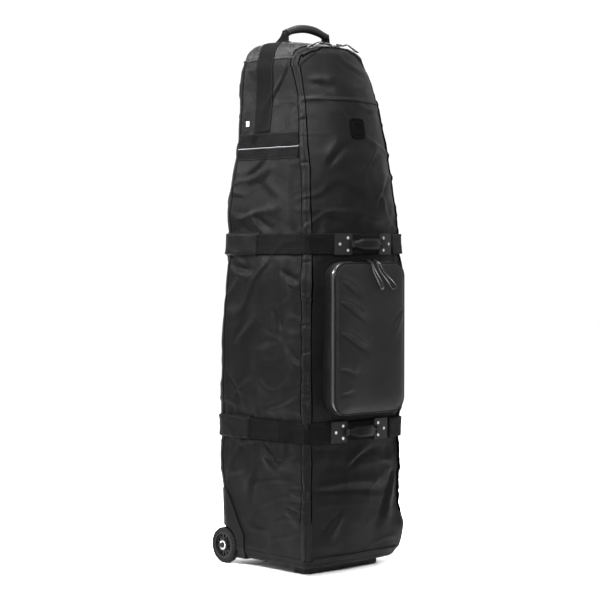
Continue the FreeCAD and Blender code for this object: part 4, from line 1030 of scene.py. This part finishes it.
def ring_piece(name, profile, body, slot, *materials):
    """Closed ring round the pocket from a loop of (outwards, depth) pairs in millimetres."""
    columns = []
    for outwards, depth in profile:
        columns.append(np.stack([loop[:, 0] + ways[:, 0] * outwards, np.full(len(loop), depth),
                                 loop[:, 1] + ways[:, 1] * outwards], -1))
    grid = np.stack(columns, 1)
    girth = run_along(np.array(profile))
    uv = np.stack(np.broadcast_arrays(run[:, None], girth[None, :]), -1)
    faces = quads(len(loop), len(profile), close_rows=True, close_columns=True)
    return dress(mesh_piece(name, grid, faces, uv), body, slot, *materials)


def gusset():
    """Side wall of the pocket: puffed, creased cloth from the door to the front rim."""
    steps = np.linspace(0, 1, 15)
    shell_points = []
    for layer, sign in ((0.0, 1), (-2.4, -1)):
        order = steps if sign > 0 else steps[::-1]
        for t in order:
            depth = back + 2.5 + (P_FRONT - back - 2.5) * t
            spot = np.stack([loop[:, 0], depth, loop[:, 1]], -1)
            puffed = 2.6 * np.sin(math.pi * t) * (1 + 0.4 * waves(spot, 90, 31))
            puffed = puffed + 1.3 * math.sin(math.pi * t) * crease(spot, 60, 32, 0.45)
            reach = layer + puffed
            shell_points.append(np.stack([loop[:, 0] + ways[:, 0] * reach, depth,
                                          loop[:, 1] + ways[:, 1] * reach], -1))
    grid = np.stack(shell_points, 1)
    columns = grid.shape[1]
    faces = quads(len(loop), columns, close_rows=True, close_columns=True)
    groups = np.tile([0] * len(steps) + [1] * len(steps), len(loop))
    uv = np.stack([np.repeat(run, columns), np.tile(np.concatenate([steps, steps[::-1]]) * 45,
                                                    len(loop))], -1)
    return mesh_piece("pocket_gusset_cloth", grid, faces, uv, groups=groups)


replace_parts(dress(gusset(), "door", "pocket_cloth", pocket_nylon, lining), "pocket_gusset")
flap_rise = [(0.2, -182.0), (1.3, -182.6), (2.2, -184.6), (2.5, -187.4), (2.2, -190.4),
             (1.2, -193.0), (0.6, -193.9), (-0.8, -194.0), (-0.9, -182.0)]
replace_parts(ring_piece("pocket_door_tape", flap_rise, "door", "zip_tape", shiny_tape),
            "pocket_zip_tape")


def ring_studs(outwards, depth, pitch, size, shift):
    """Pegs at an even pitch round the pocket."""
    at = np.arange(pitch * (0.5 + shift), run[-1], pitch)
    x, z = picked(at, run, loop + ways * outwards).T
    n = unit(picked(at, run, ways))
    points = np.stack([x, np.full(x.shape, depth), z], -1)
    normals = np.stack([n[:, 0], np.zeros(len(x)), n[:, 1]], -1)
    tangents = np.stack([-n[:, 1], np.zeros(len(x)), n[:, 0]], -1)
    return studs(points, tangents, normals, size)


for body, depth, shift in (("door", -193.6, 0.0), ("pocket_lid", -195.4, 0.5)):
    join_clouds(f"pocket_{body.split('_')[-1]}_teeth",
                [ring_studs(0.9, depth, 2.4, (1.4, 2.2, 2.2), shift)], body, "zip_tape",
                coil_plastic)


POCKET_FOLDS = [(-114, 668, -28, 622, 8, 3.6), (-110, 592, -24, 548, 8, 3.8),
                (-112, 508, -62, 486, 7, 2.6), (-112, 726, -54, 678, 8, 2.6),
                (-110, 450, -70, 440, 6, 1.6), (112, 640, 60, 600, 8, 1.6)]


def pocket_front():
    """Soft, crowned front of the pocket, slack and pulled into folds from its left edge."""
    shares = 1 - np.linspace(0, 1, 48) ** 1.25 * 0.995
    rings, inner = [], []
    for share in shares:
        x, z = loop[:, 0] * share, P_MID + (loop[:, 1] - P_MID) * share
        inset = np.minimum((1 - share) * P_HALF, (1 - share) * 180)
        edge = 1 - np.exp(-inset / LID_EASE)
        spot = np.stack([x, np.zeros(len(x)), z], -1)
        sag = 1.5 * smooth(P_MID - z, -60, 170) * edge
        fan = (waves(spot, 95, 41, (0.35, 1, 1.2)) * smooth(-x, -30, 90)
               + 0.5 * waves(spot, 150, 42))
        folds = 1.8 * pulled(x, z, POCKET_FOLDS)
        lift = LID_CROWN * edge + sag + (0.9 * fan + folds) * edge * smooth(inset, 1, 14)
        rings.append(np.stack([x, LID_EDGE - np.clip(lift, 0, 13.5), z], -1))
        inner.append(np.stack([x, -195.6 - np.clip(lift - 3.4, 0, 9), z], -1))
    grid = np.stack(rings + inner[::-1], 1)
    columns = grid.shape[1]
    count = len(shares)
    faces = quads(len(loop), columns, close_rows=True, close_columns=True)
    groups = np.tile([0] * count + [1] * (count - 1) + [0], len(loop))
    return mesh_piece("pocket_front_cloth", grid, faces[:, ::-1], grid[..., [0, 2]],
                      groups=groups)


pocket_lid = dress(pocket_front(), "pocket_lid", "pocket_cloth", pocket_nylon, lining)
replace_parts(pocket_lid, "pocket_lid")
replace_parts(ring_piece("pocket_rim_piping", bead_profile(0.2, -197.3, 1.7), "pocket_lid",
                       "pocket_piping", piping_cover), "pocket_piping")
at = np.arange(2.0, run[-1], 4.6)
sx, sz = picked(at, run, loop - ways * 5.0).T
nx, nz = picked(at, run, ways).T
depth = LID_EDGE - LID_CROWN * (1 - math.exp(-5.0 / LID_EASE)) - 0.1
rim_stitches = studs(np.stack([sx, np.full(sx.shape, depth), sz], -1),
                     np.stack([-nz, 0 * nx, nx], -1), np.tile([[0.0, -1.0, 0.0]], (len(sx), 1)),
                     (3.2, 0.75, 0.6), 5)
join_clouds("pocket_lid_stitches", [rim_stitches], "pocket_lid", "pocket_cloth", pale_thread)

fold_z = np.linspace(P_LOW + P_CORNER, P_HIGH - P_CORNER, 60)
fold = []
for inward in (0.0, -1.0):
    for depth in (-188.0, -191.5, -195.0, -198.5)[::1 if inward == 0 else -1]:
        fold.append(np.stack([np.full(60, P_HALF - 1.2 + inward + 1.0 * (depth < -190)),
                              np.full(60, depth), fold_z], -1))
grid = np.stack(fold, 1)
lid_hinge = dress(mesh_piece("pocket_hinge_cloth", grid, quads(60, 8, close_columns=True),
                             grid[..., [2, 1]]), "door", "pocket_cloth", pocket_nylon)
lid_hinge.parent = None
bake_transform(lid_hinge)

# ---------------------------------------------------------------- badge: a plain ring on a pad

turns = circle(120)
reach = 1 / (np.abs(np.cos(turns) / 24) ** 5 + np.abs(np.sin(turns) / 25) ** 5) ** 0.2
shares = np.array([1.0, 1.0, 0.985, 0.95, 0.92, 0.9, 0.86, 0.7, 0.62, 0.6, 0.57, 0.52, 0.48, 0.45,
                   0.42, 0.3, 0.2, 0.1, 0.03])
heights = np.array([0.2, 1.8, 2.5, 2.6, 2.3, 1.5, 1.3, 1.3, 1.5, 2.1, 2.4, 2.4, 2.1, 1.5, 1.3, 1.3,
                    1.3, 1.3, 1.3])
bx = reach * np.cos(turns) * shares[:, None]
bz = BADGE_Z + reach * np.sin(turns) * shares[:, None]
dimples = 0.35 * np.cos(bx * 1.1) * np.cos((bz - BADGE_Z) * 1.1) * (shares[:, None] < 0.4)
badge_grid = skin(bz, front_place(bz, bx), heights[:, None] + dimples)
cells = quads(len(shares), 120, close_columns=True)
badge = dress(mesh_piece("front_rubber_badge", badge_grid,
                         [*cells[:, ::-1].tolist(),
                          [(len(shares) - 1) * 120 + k for k in range(120)][::-1]]),
              "door", "badge_rubber", badge_rubber)
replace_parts(badge, "front_badge")

# ---------------------------------------------------------------- handles


def swept(centres, sides, ups, sections):
    """Grid of points along centres: sections gives each station a loop of (side, up) pairs."""
    return centres[:, None] + sides[:, None] * sections[..., :1] + ups[:, None] * sections[..., 1:]


def sweep(name, *line_and_sections):
    """Solid swept along a line."""
    grid = swept(*line_and_sections)
    count, around = grid.shape[:2]
    girth = run_lengths(np.concatenate([grid, grid[:, :1]], 1), 1)[:, :-1]
    along = run_lengths(grid, 0)
    uv = np.stack([along, girth], -1)
    return mesh_piece(name, grid, tube_faces(count, around), uv)


GRAB_HALF, GRAB_BOW = 44, 15


def bow_radius(half, rise):
    """Radius of the arc that rises by rise over a chord of twice half."""
    return (half ** 2 + rise ** 2) / (2 * rise)


def grab_handle(row, z, depth):
    """Padded handle: two cloth faces bound together, bowed between its pins."""
    x = np.linspace(-GRAB_HALF, GRAB_HALF, 90)
    bow = bow_radius(GRAB_HALF, GRAB_BOW)
    y = -depth - GRAB_BOW + bow - np.sqrt(bow ** 2 - x ** 2)
    high = np.interp(np.abs(x), [0, 27, 36, GRAB_HALF], [12.6, 12.6, 8.2, 6.0])
    thick = np.interp(np.abs(x), [0, 26, 38, GRAB_HALF], [4.0, 3.8, 3.0, 2.7])
    turns = circle(28)
    shape = np.stack([np.sign(np.cos(turns)) * np.abs(np.cos(turns)) ** 0.8,
                      np.sign(np.sin(turns)) * np.abs(np.sin(turns)) ** 0.62], -1)
    spot = np.stack([x, y, np.full(90, z)], -1)
    wobble = 1 + 0.05 * waves(spot, 24, 51)
    sections = shape[None] * np.stack([thick * wobble, high], -1)[:, None]
    tangent = unit(np.gradient(spot, axis=0))
    ups = np.tile([[0.0, 0.0, 1.0]], (90, 1))
    side = np.cross(tangent, ups)
    pad = dress(sweep(f"{row}_grab_pad", spot, side, ups, sections), f"{row}_grab", "handle_pad",
                side_nylon)
    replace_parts(pad, f"{row}_grab_handle")
    binding, threads = [], []
    for sign in (1, -1):
        line = spot + ups * (sign * (high - 0.2))[:, None]
        ring = circle(8)
        section = np.stack([np.cos(ring) * 1.6, np.sin(ring) * 1.3], -1)
        grid = swept(line, side, ups, section[None])
        binding.append((grid.reshape(-1, 3), quads(90, 8, close_columns=True).tolist()))
        inset = spot + ups * (sign * (high - 3.4))[:, None] + side * (thick * 0.93)[:, None]
        run_at = run_along(inset)
        at = np.arange(3, run_at[-1] - 3, 4.0)
        threads.append(studs(picked(at, run_at, inset), unit(picked(at, run_at, tangent)),
                             unit(picked(at, run_at, side)), (2.8, 0.7, 0.6), 5))
    join_clouds(f"{row}_grab_binding", binding, f"{row}_grab", "handle_pad", piping_cover)
    join_clouds(f"{row}_grab_stitches", threads, f"{row}_grab", "handle_pad", pale_thread)


grab_handle("upper", BELTS[0], 187.0)
grab_handle("lower", BELTS[1], 169.0)

GRIP_HALF, GRIP_RISE, GRIP_Y, GRIP_Z = 68, 15.5, 32.0, 1331
x = np.linspace(0.2 - GRIP_HALF, GRIP_HALF - 0.2, 180)
arch = bow_radius(GRIP_HALF, GRIP_RISE)
spot = np.stack([x, np.full(180, GRIP_Y),
                 GRIP_Z + GRIP_RISE - arch + np.sqrt(arch ** 2 - x ** 2)], -1)
tangent = unit(np.gradient(spot, axis=0))
side = np.tile([[0.0, 1.0, 0.0]], (180, 1))
ups = np.cross(tangent, side)
swell = np.interp(np.abs(x), [0, 30, 52, 60, 63, 66, 67.8], [10.3, 10.3, 9.2, 9.0, 9.9, 9.9, 8.6])
grooves = 0.55 * (np.abs(x) < 50) * smooth(np.cos(x * 2 * math.pi / 7.0), 0.55, 1.0)
turns = circle(36)
radius = swell[:, None] - grooves[:, None] * smooth(np.sin(turns), -0.6, 0.2)[None, :]
sections = np.stack([radius * 1.02 * np.cos(turns), radius * np.sin(turns)], -1)
grip = dress(sweep("top_handle_grip_rubber", spot, side, ups, sections), "top_handle",
             "grip_rubber", grip_rubber)
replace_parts(grip, "top_handle_grip")

# Webbing loops that stand up beside the grip
for sign, name in mirrored:
    path = np.array([(84, 1301.6, 50, 29.0), (79, 1302.5, 49, 28.5), (74.5, 1304, 47, 27.5),
                     (71.6, 1308, 44, 25.5), (70.6, 1314, 40, 21.5), (70.3, 1322, 35, 15.5),
                     (70.2, 1330, 32.5, 12), (70.2, 1336, 32, 10.5), (70.2, 1338.2, 32, 8)])
    t = np.linspace(0, len(path) - 1, 60)
    line = picked(t, range(len(path)), path)
    for _ in range(6):
        line[1:-1] = (line[:-2] + 2 * line[1:-1] + line[2:]) / 4
    centres = np.stack([sign * line[:, 0], line[:, 2], line[:, 1]], -1)
    flow = unit(np.gradient(centres, axis=0))
    depth_way = np.tile([[0.0, 1.0, 0.0]], (60, 1))
    out = unit(np.cross(depth_way, flow)) * -sign
    t = np.array([(1, -0.6), (1, 0.6), (0.96, 1), (0.5, 1), (0, 1), (-0.5, 1), (-0.96, 1),
                  (-1, 0.6), (-1, -0.6), (-0.96, -1), (-0.5, -1), (0, -1), (0.5, -1), (0.96, -1)])
    sections = np.stack([t[None, :, 0] * line[:, 3:4], np.tile(t[:, 1] * 1.35, (60, 1))], -1)
    loop_piece = dress(sweep(f"{name}_handle_webbing", centres, depth_way, out, sections), "shell",
                       "webbing", band_webbing)
    if sign > 0:
        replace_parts(loop_piece, "top_handle_tabs")

# ---------------------------------------------------------------- tyres with a block tread

WHEEL_X, AXLE_Y, AXLE_Z = 153, 164, 45
FLOOR_GAP = 0.05


def turned_grid(x, radius, angles):
    """Grid of points turned round the axle, from radii at angles (rows) and widths (columns)."""
    return np.stack([np.broadcast_to(x[None, :], radius.shape),
                     AXLE_Y + radius * np.cos(angles)[:, None],
                     AXLE_Z + radius * np.sin(angles)[:, None]], -1)


for sign, name in mirrored:
    across_tyre = np.array([-12, -12, -11.6, -10.8, -9.6, -7.5, -6.4, -2.4, -1.6,
                            1.6, 2.4, 6.4, 7.5, 9.6, 10.8, 11.6, 12, 12])
    out = np.array([33, 37.6, 40.2, 42.0, 43.6, 44.6, 44.9, 45, 43.9, 43.9, 45, 44.9, 44.6, 43.6,
                    42.0, 40.2, 37.6, 33])
    shoulder = np.array([0, 0, 0.5, 1, 1, 1, 0.9, 0, 0, 0, 0, 0.9, 1, 1, 1, 0.5, 0, 0])
    around = circle(288)
    phase = np.where(across_tyre > 0, math.pi, 0.0)
    notch = smooth(np.cos(around[:, None] * 32 + phase[None, :]), 0.25, 0.75)
    radius = out[None, :] - 1.7 * shoulder[None, :] * notch
    wheel = turned_grid(sign * WHEEL_X + across_tyre, radius, around)
    wheel[..., 2] = np.maximum(wheel[..., 2], FLOOR_GAP)
    cells = quads(288, len(out), close_rows=True, close_columns=True)
    tyre = dress(mesh_piece(f"{name}_tyre_tread", wheel, cells), f"{name}_wheel", "tyre",
                 tyre_rubber)
    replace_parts(tyre, f"{name}_tyre")
    rings = np.array([(165.1, 10.0), (166.0, 9.8), (166.3, 9.3), (166.3, 7.4), (165.7, 7.0),
                      (165.7, 6.0), (165.9, 5.6), (165.9, 5.0), (165.2, 5.0)])
    cap = turned_grid(sign * rings[:, 0], np.tile(rings[:, 1], (48, 1)), circle(48))
    dress(mesh_piece(f"{name}_hub_cap", cap,
                     quads(48, len(rings), close_rows=True, close_columns=True)), f"{name}_wheel",
          "hub_black", cap_silver)

# ---------------------------------------------------------------- inside


def quilted(name, z, s, lift, thick, body, slot, material, backing):
    """Foam lining sewn through in diamonds, standing inwards from the shell."""
    z, s = np.broadcast_arrays(z, s)
    p, n, r = surface(z, s)
    girth = run_lengths(p, 1)
    a, b = (girth + z) * math.pi / 62, (girth - z) * math.pi / 62
    puffs = np.abs(np.sin(a) * np.sin(b)) ** 0.45
    outer = p + n * (r + lift)[..., None]
    edge = smooth(z, z.min(), z.min() + 10) * smooth(z.max() - z, 0, 10)
    inner = p + n * (r + lift - 1.2 - (thick - 1.2) * puffs * (0.25 + 0.75 * edge))[..., None]
    rows, columns = z.shape
    uv = np.stack([girth, z], -1)
    thing = two_faced(name, outer, inner, uv, quads(rows, columns), border_quads(rows, columns), 1)
    return dress(thing, body, slot, backing, material)


hood_rows = np.linspace(988, 1247, 66)[:, None]
hood_first = side_place(hood_rows, -44)
hood_places = hood_first + (10 - 2 * hood_first) * np.linspace(0, 1, 150)[None, :]
hood = quilted("hood_foam_lining", hood_rows, hood_places, -4.8, 7.0, "shell", "liner", quilt,
               lining)
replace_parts(hood, "hood_padding")

for k, z in enumerate((470.0, 900.0)):
    begin = float(side_place(z, -46))
    band = ribbon(f"inner_strap_{k + 1}", np.full(200, z), np.linspace(begin, 10 - begin, 200),
                  band_profile(12.5, -9.6, -8.2, 6), "shell", "webbing", strap_webbing)
    if k == 0:
        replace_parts(band, "inner_straps")


def buckle(name, x, y0, y1, z):
    """Half of a side-release buckle: a rounded bar frame with a bridge and a slot."""
    mesh = bmesh.new()
    rim = [(cy + 4 * math.cos(math.radians(a)), cz + 4 * math.sin(math.radians(a)))
           for cy, cz, a0 in ((y1 - 4, z + 12, 0), (y0 + 4, z + 12, 90), (y0 + 4, z - 12, 180),
                              (y1 - 4, z - 12, 270)) for a in range(a0, a0 + 91, 30)]
    hole = [(y0 + 5, z - 10), (y0 + 5, z + 10), (y0 + 9, z + 10), (y0 + 9, z - 10)]
    slit = [(y1 - 10, z - 8), (y1 - 10, z + 8), (y1 - 4.5, z + 8), (y1 - 4.5, z - 8)]
    edges = []
    for ring in (rim, hole, slit):
        verts = [mesh.verts.new((x * MM, a * MM, b * MM)) for a, b in ring]
        edges += [mesh.edges.new((verts[i], verts[(i + 1) % len(verts)]))
                  for i in range(len(verts))]
    bmesh.ops.triangle_fill(mesh, edges=edges, use_beauty=True)
    made = bpy.data.meshes.new(name)
    mesh.to_mesh(made)
    mesh.free()
    thing = bpy.data.objects.new(name, made)
    bpy.context.scene.collection.objects.link(thing)
    thick = thing.modifiers.new("thick", "SOLIDIFY")
    thick.thickness, thick.offset = 5.0 * MM, 0.0
    soft = thing.modifiers.new("soft", "BEVEL")
    soft.width, soft.segments, soft.limit_method = 0.9 * MM, 2, "ANGLE"
    return dress(thing, "shell", "moulded_black", black_plastic)


buckles = []
for z, x in ((470.0, 148.0), (900.0, 137.0)):
    for sign, long in ((-1, 30), (1, 36)):
        buckles.append(buckle(f"inner_buckle_{int(z)}_{'left' if sign < 0 else 'right'}", sign * x,
                              -46 - long, -46, z))
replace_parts(buckles[0], "inner_buckles")

# ---------------------------------------------------------------- pull cords

POCKET_CORD = [(-2.0, 0.0, 0.0), (-2.0, -4.0, -1.87), (-1.2, -6.0, -7.5), (1.5, -5.4, -16.0),
               (7.0, -4.0, -27.5), (14.5, -2.8, -41.0), (21.0, -2.4, -53.5), (24.4, -2.2, -61.5),
               (28.4, -2.2, -66.0), (33.6, -2.2, -65.0), (34.6, -2.2, -59.5), (29.0, -2.4, -50.0),
               (21.0, -2.9, -37.0), (12.5, -4.0, -25.0), (5.5, -5.6, -14.5), (2.6, -6.0, -7.0),
               (2.0, -4.0, -1.87), (2.0, 0.0, 0.0)]
ROOF_CORD = [(0.0, -1.8, -0.9), (5.0, -1.8, -0.9), (11.5, -2.6, 1.6), (20.5, -3.2, 1.4),
             (31.5, -2.4, -3.6), (42.0, -2.0, -8.8), (49.5, -2.2, -11.6), (56.0, -0.4, -12.8),
             (59.0, 4.0, -12.6), (56.6, 8.4, -11.2), (50.0, 9.4, -8.4), (41.0, 7.4, -4.4),
             (30.5, 5.0, -0.2), (20.0, 3.4, 3.6), (11.5, 2.2, 3.4), (5.0, 1.8, 0.9),
             (0.0, 1.8, 0.9)]
CORD_RADIUS = 1.6


def pull_cord(name, route, body):
    """Thin braided loop through the end of a zip pull, hanging or lying on the cloth."""
    curve = bpy.data.curves.new(name + "_line", "CURVE")
    curve.dimensions = "3D"
    curve.resolution_u = 8
    spline = curve.splines.new("NURBS")
    spline.points.add(len(route) - 1)
    for point, (px, py, pz) in zip(spline.points, route):
        point.co = (px * MM, py * MM, pz * MM, 1)
    spline.order_u = 3
    spline.use_endpoint_u = True
    holder = bpy.data.objects.new(name + "_line", curve)
    line_mesh = bpy.data.meshes.new_from_object(holder)
    line = np.array([v.co for v in line_mesh.vertices]) / MM
    bpy.data.objects.remove(holder)
    bpy.data.meshes.remove(line_mesh)
    steps = np.linalg.norm(np.diff(line, axis=0), axis=1)
    line = line[np.concatenate([[True], steps > 1e-4])]
    flow = unit(np.gradient(line, axis=0))
    side = np.cross(flow[0], (0.31, 0.52, 0.79))
    sides = []
    for way in flow:
        side = unit(side - way * (side @ way))
        sides.append(side)
    sides = np.array(sides)
    ups = np.cross(flow, sides)
    along = run_along(line)
    turns = circle(14)
    braid_lift = 0.07 * np.cos(4 * (turns[None, :] + along[:, None] * 1.1)) * np.cos(
        4 * (turns[None, :] - along[:, None] * 1.1))
    radius = CORD_RADIUS * (0.96 + braid_lift)
    grid = swept(line, sides, ups, np.stack([radius * np.cos(turns), radius * np.sin(turns)], -1))
    uv = np.stack(np.broadcast_arrays(turns[None, :] / (2 * math.pi) / MM, along[:, None]), -1)
    faces = tube_faces(len(line), len(turns))
    cord = dress(mesh_piece(name, grid, faces, uv), body, "cord", braid)
    return cord


for side_name, end_x, spread in (("left", -8.0, 1.2), ("right", 14.0, 1.9)):
    last = len(POCKET_CORD) - 1
    route = [(end_x + (a if i in (0, 1, last - 1, last) else 2 + (a - 2) * spread), -208.688 + b,
              761.583 + c) for i, (a, b, c) in enumerate(POCKET_CORD)]
    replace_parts(pull_cord(f"pocket_pull_cord_{side_name}", route, f"pocket_pull_{side_name}"),
                f"pocket_cord_{side_name}")
for side_name, sign in (("left", -1), ("right", 1)):
    route = [(sign * (28.0 + a), -70.554 + b, 1299.108 + c) for a, b, c in ROOF_CORD]
    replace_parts(pull_cord(f"main_pull_cord_{side_name}", route, f"main_pull_{side_name}"),
                f"main_cord_{side_name}")

# ---------------------------------------------------------------- stitches

for body, clouds in stitch_clouds.items():
    join_clouds(f"{body}_stitches", clouds, body, "zip_tape", pale_thread)

# ---------------------------------------------------------------- camera, floor and light

AZIMUTH, PITCH = math.radians(43.0), math.radians(1.81)
SENSOR, FOCAL, FRAME_WIDTH = 36.0, 1782, 600        # mm, and two in pixels
CAMERA_BACK, CAMERA_SIDE, CAMERA_HEIGHT = 4.49, 0.027, 0.807
CAMERA_SHIFT = 0.014
across_view = Vector((math.cos(AZIMUTH), -math.sin(AZIMUTH), 0))
ahead = Vector((math.sin(AZIMUTH), math.cos(AZIMUTH), 0))
data = bpy.data.cameras.new("camera")
data.sensor_width = SENSOR
data.lens = FOCAL / FRAME_WIDTH * SENSOR
data.clip_end = 60.0
camera = bpy.data.objects.new("camera", data)
bpy.context.scene.collection.objects.link(camera)
camera.location = (-CAMERA_BACK * ahead - CAMERA_SIDE * across_view
                   + Vector((0, CAMERA_SHIFT, CAMERA_HEIGHT)))
look = ahead * math.cos(PITCH) - Vector((0, 0, math.sin(PITCH)))
camera.rotation_euler = look.to_track_quat("-Z", "Y").to_euler()
bpy.context.scene.camera = camera

floor_shader = Shader("pale_floor", Roughness=0.6)
mottle = floor_shader.noise(floor_shader.place("Object"), 2.0)
floor_tint = floor_shader.blend(floor_shader.range(mottle, 0.3, 0.7, 0.0, 1.0),
                                (0.955, 0.955, 0.955, 1), (0.97, 0.97, 0.97, 1))
floor_shader.finish(Base_Color=floor_tint)
floor = bpy.data.objects.new("floor", bpy.data.meshes.new("floor"))
floor.data.from_pydata([(-14, -14, 0), (14, -14, 0), (14, 14, 0), (-14, 14, 0)], [],
                       [(0, 1, 2, 3)])
floor.data.materials.append(floor_shader.material)
bpy.context.scene.collection.objects.link(floor)


def lamp(name, place, aim, size, power, spread=180):
    light = bpy.data.lights.new(name, "AREA")
    light.shape, light.size, light.size_y, light.energy = "RECTANGLE", size[0], size[1], power
    light.spread = math.radians(spread)
    thing = bpy.data.objects.new(name, light)
    bpy.context.scene.collection.objects.link(thing)
    thing.location = place
    thing.rotation_euler = (Vector(aim) - Vector(place)).to_track_quat("-Z", "Y").to_euler()


lamp("key_light", (-2.4, -3.0, 2.7), (0, 0, 1.15), (1.0, 1.2), 32, 40)
lamp("side_light", (-2.6, 2.2, 2.9), (0, 0, 1.15), (1.0, 1.0), 27, 40)
lamp("front_light", (2.5, -2.6, 3.0), (0, 0, 0.8), (1.6, 1.6), 25)
lamp("top_light", (-0.5, -0.5, 4.2), (0, 0, 1.2), (1.6, 1.6), 85, 60)
lamp("rear_light", (2.6, 3.0, 2.4), (0, 0, 0.8), (2.0, 2.6), 60)
world = bpy.data.worlds.new("studio")
world.use_nodes = True
world.node_tree.nodes["Background"].inputs[0].default_value = (1, 1, 1, 1)
world.node_tree.nodes["Background"].inputs[1].default_value = 1.06
bpy.context.scene.world = world
bpy.context.scene.view_settings.view_transform = "Standard"
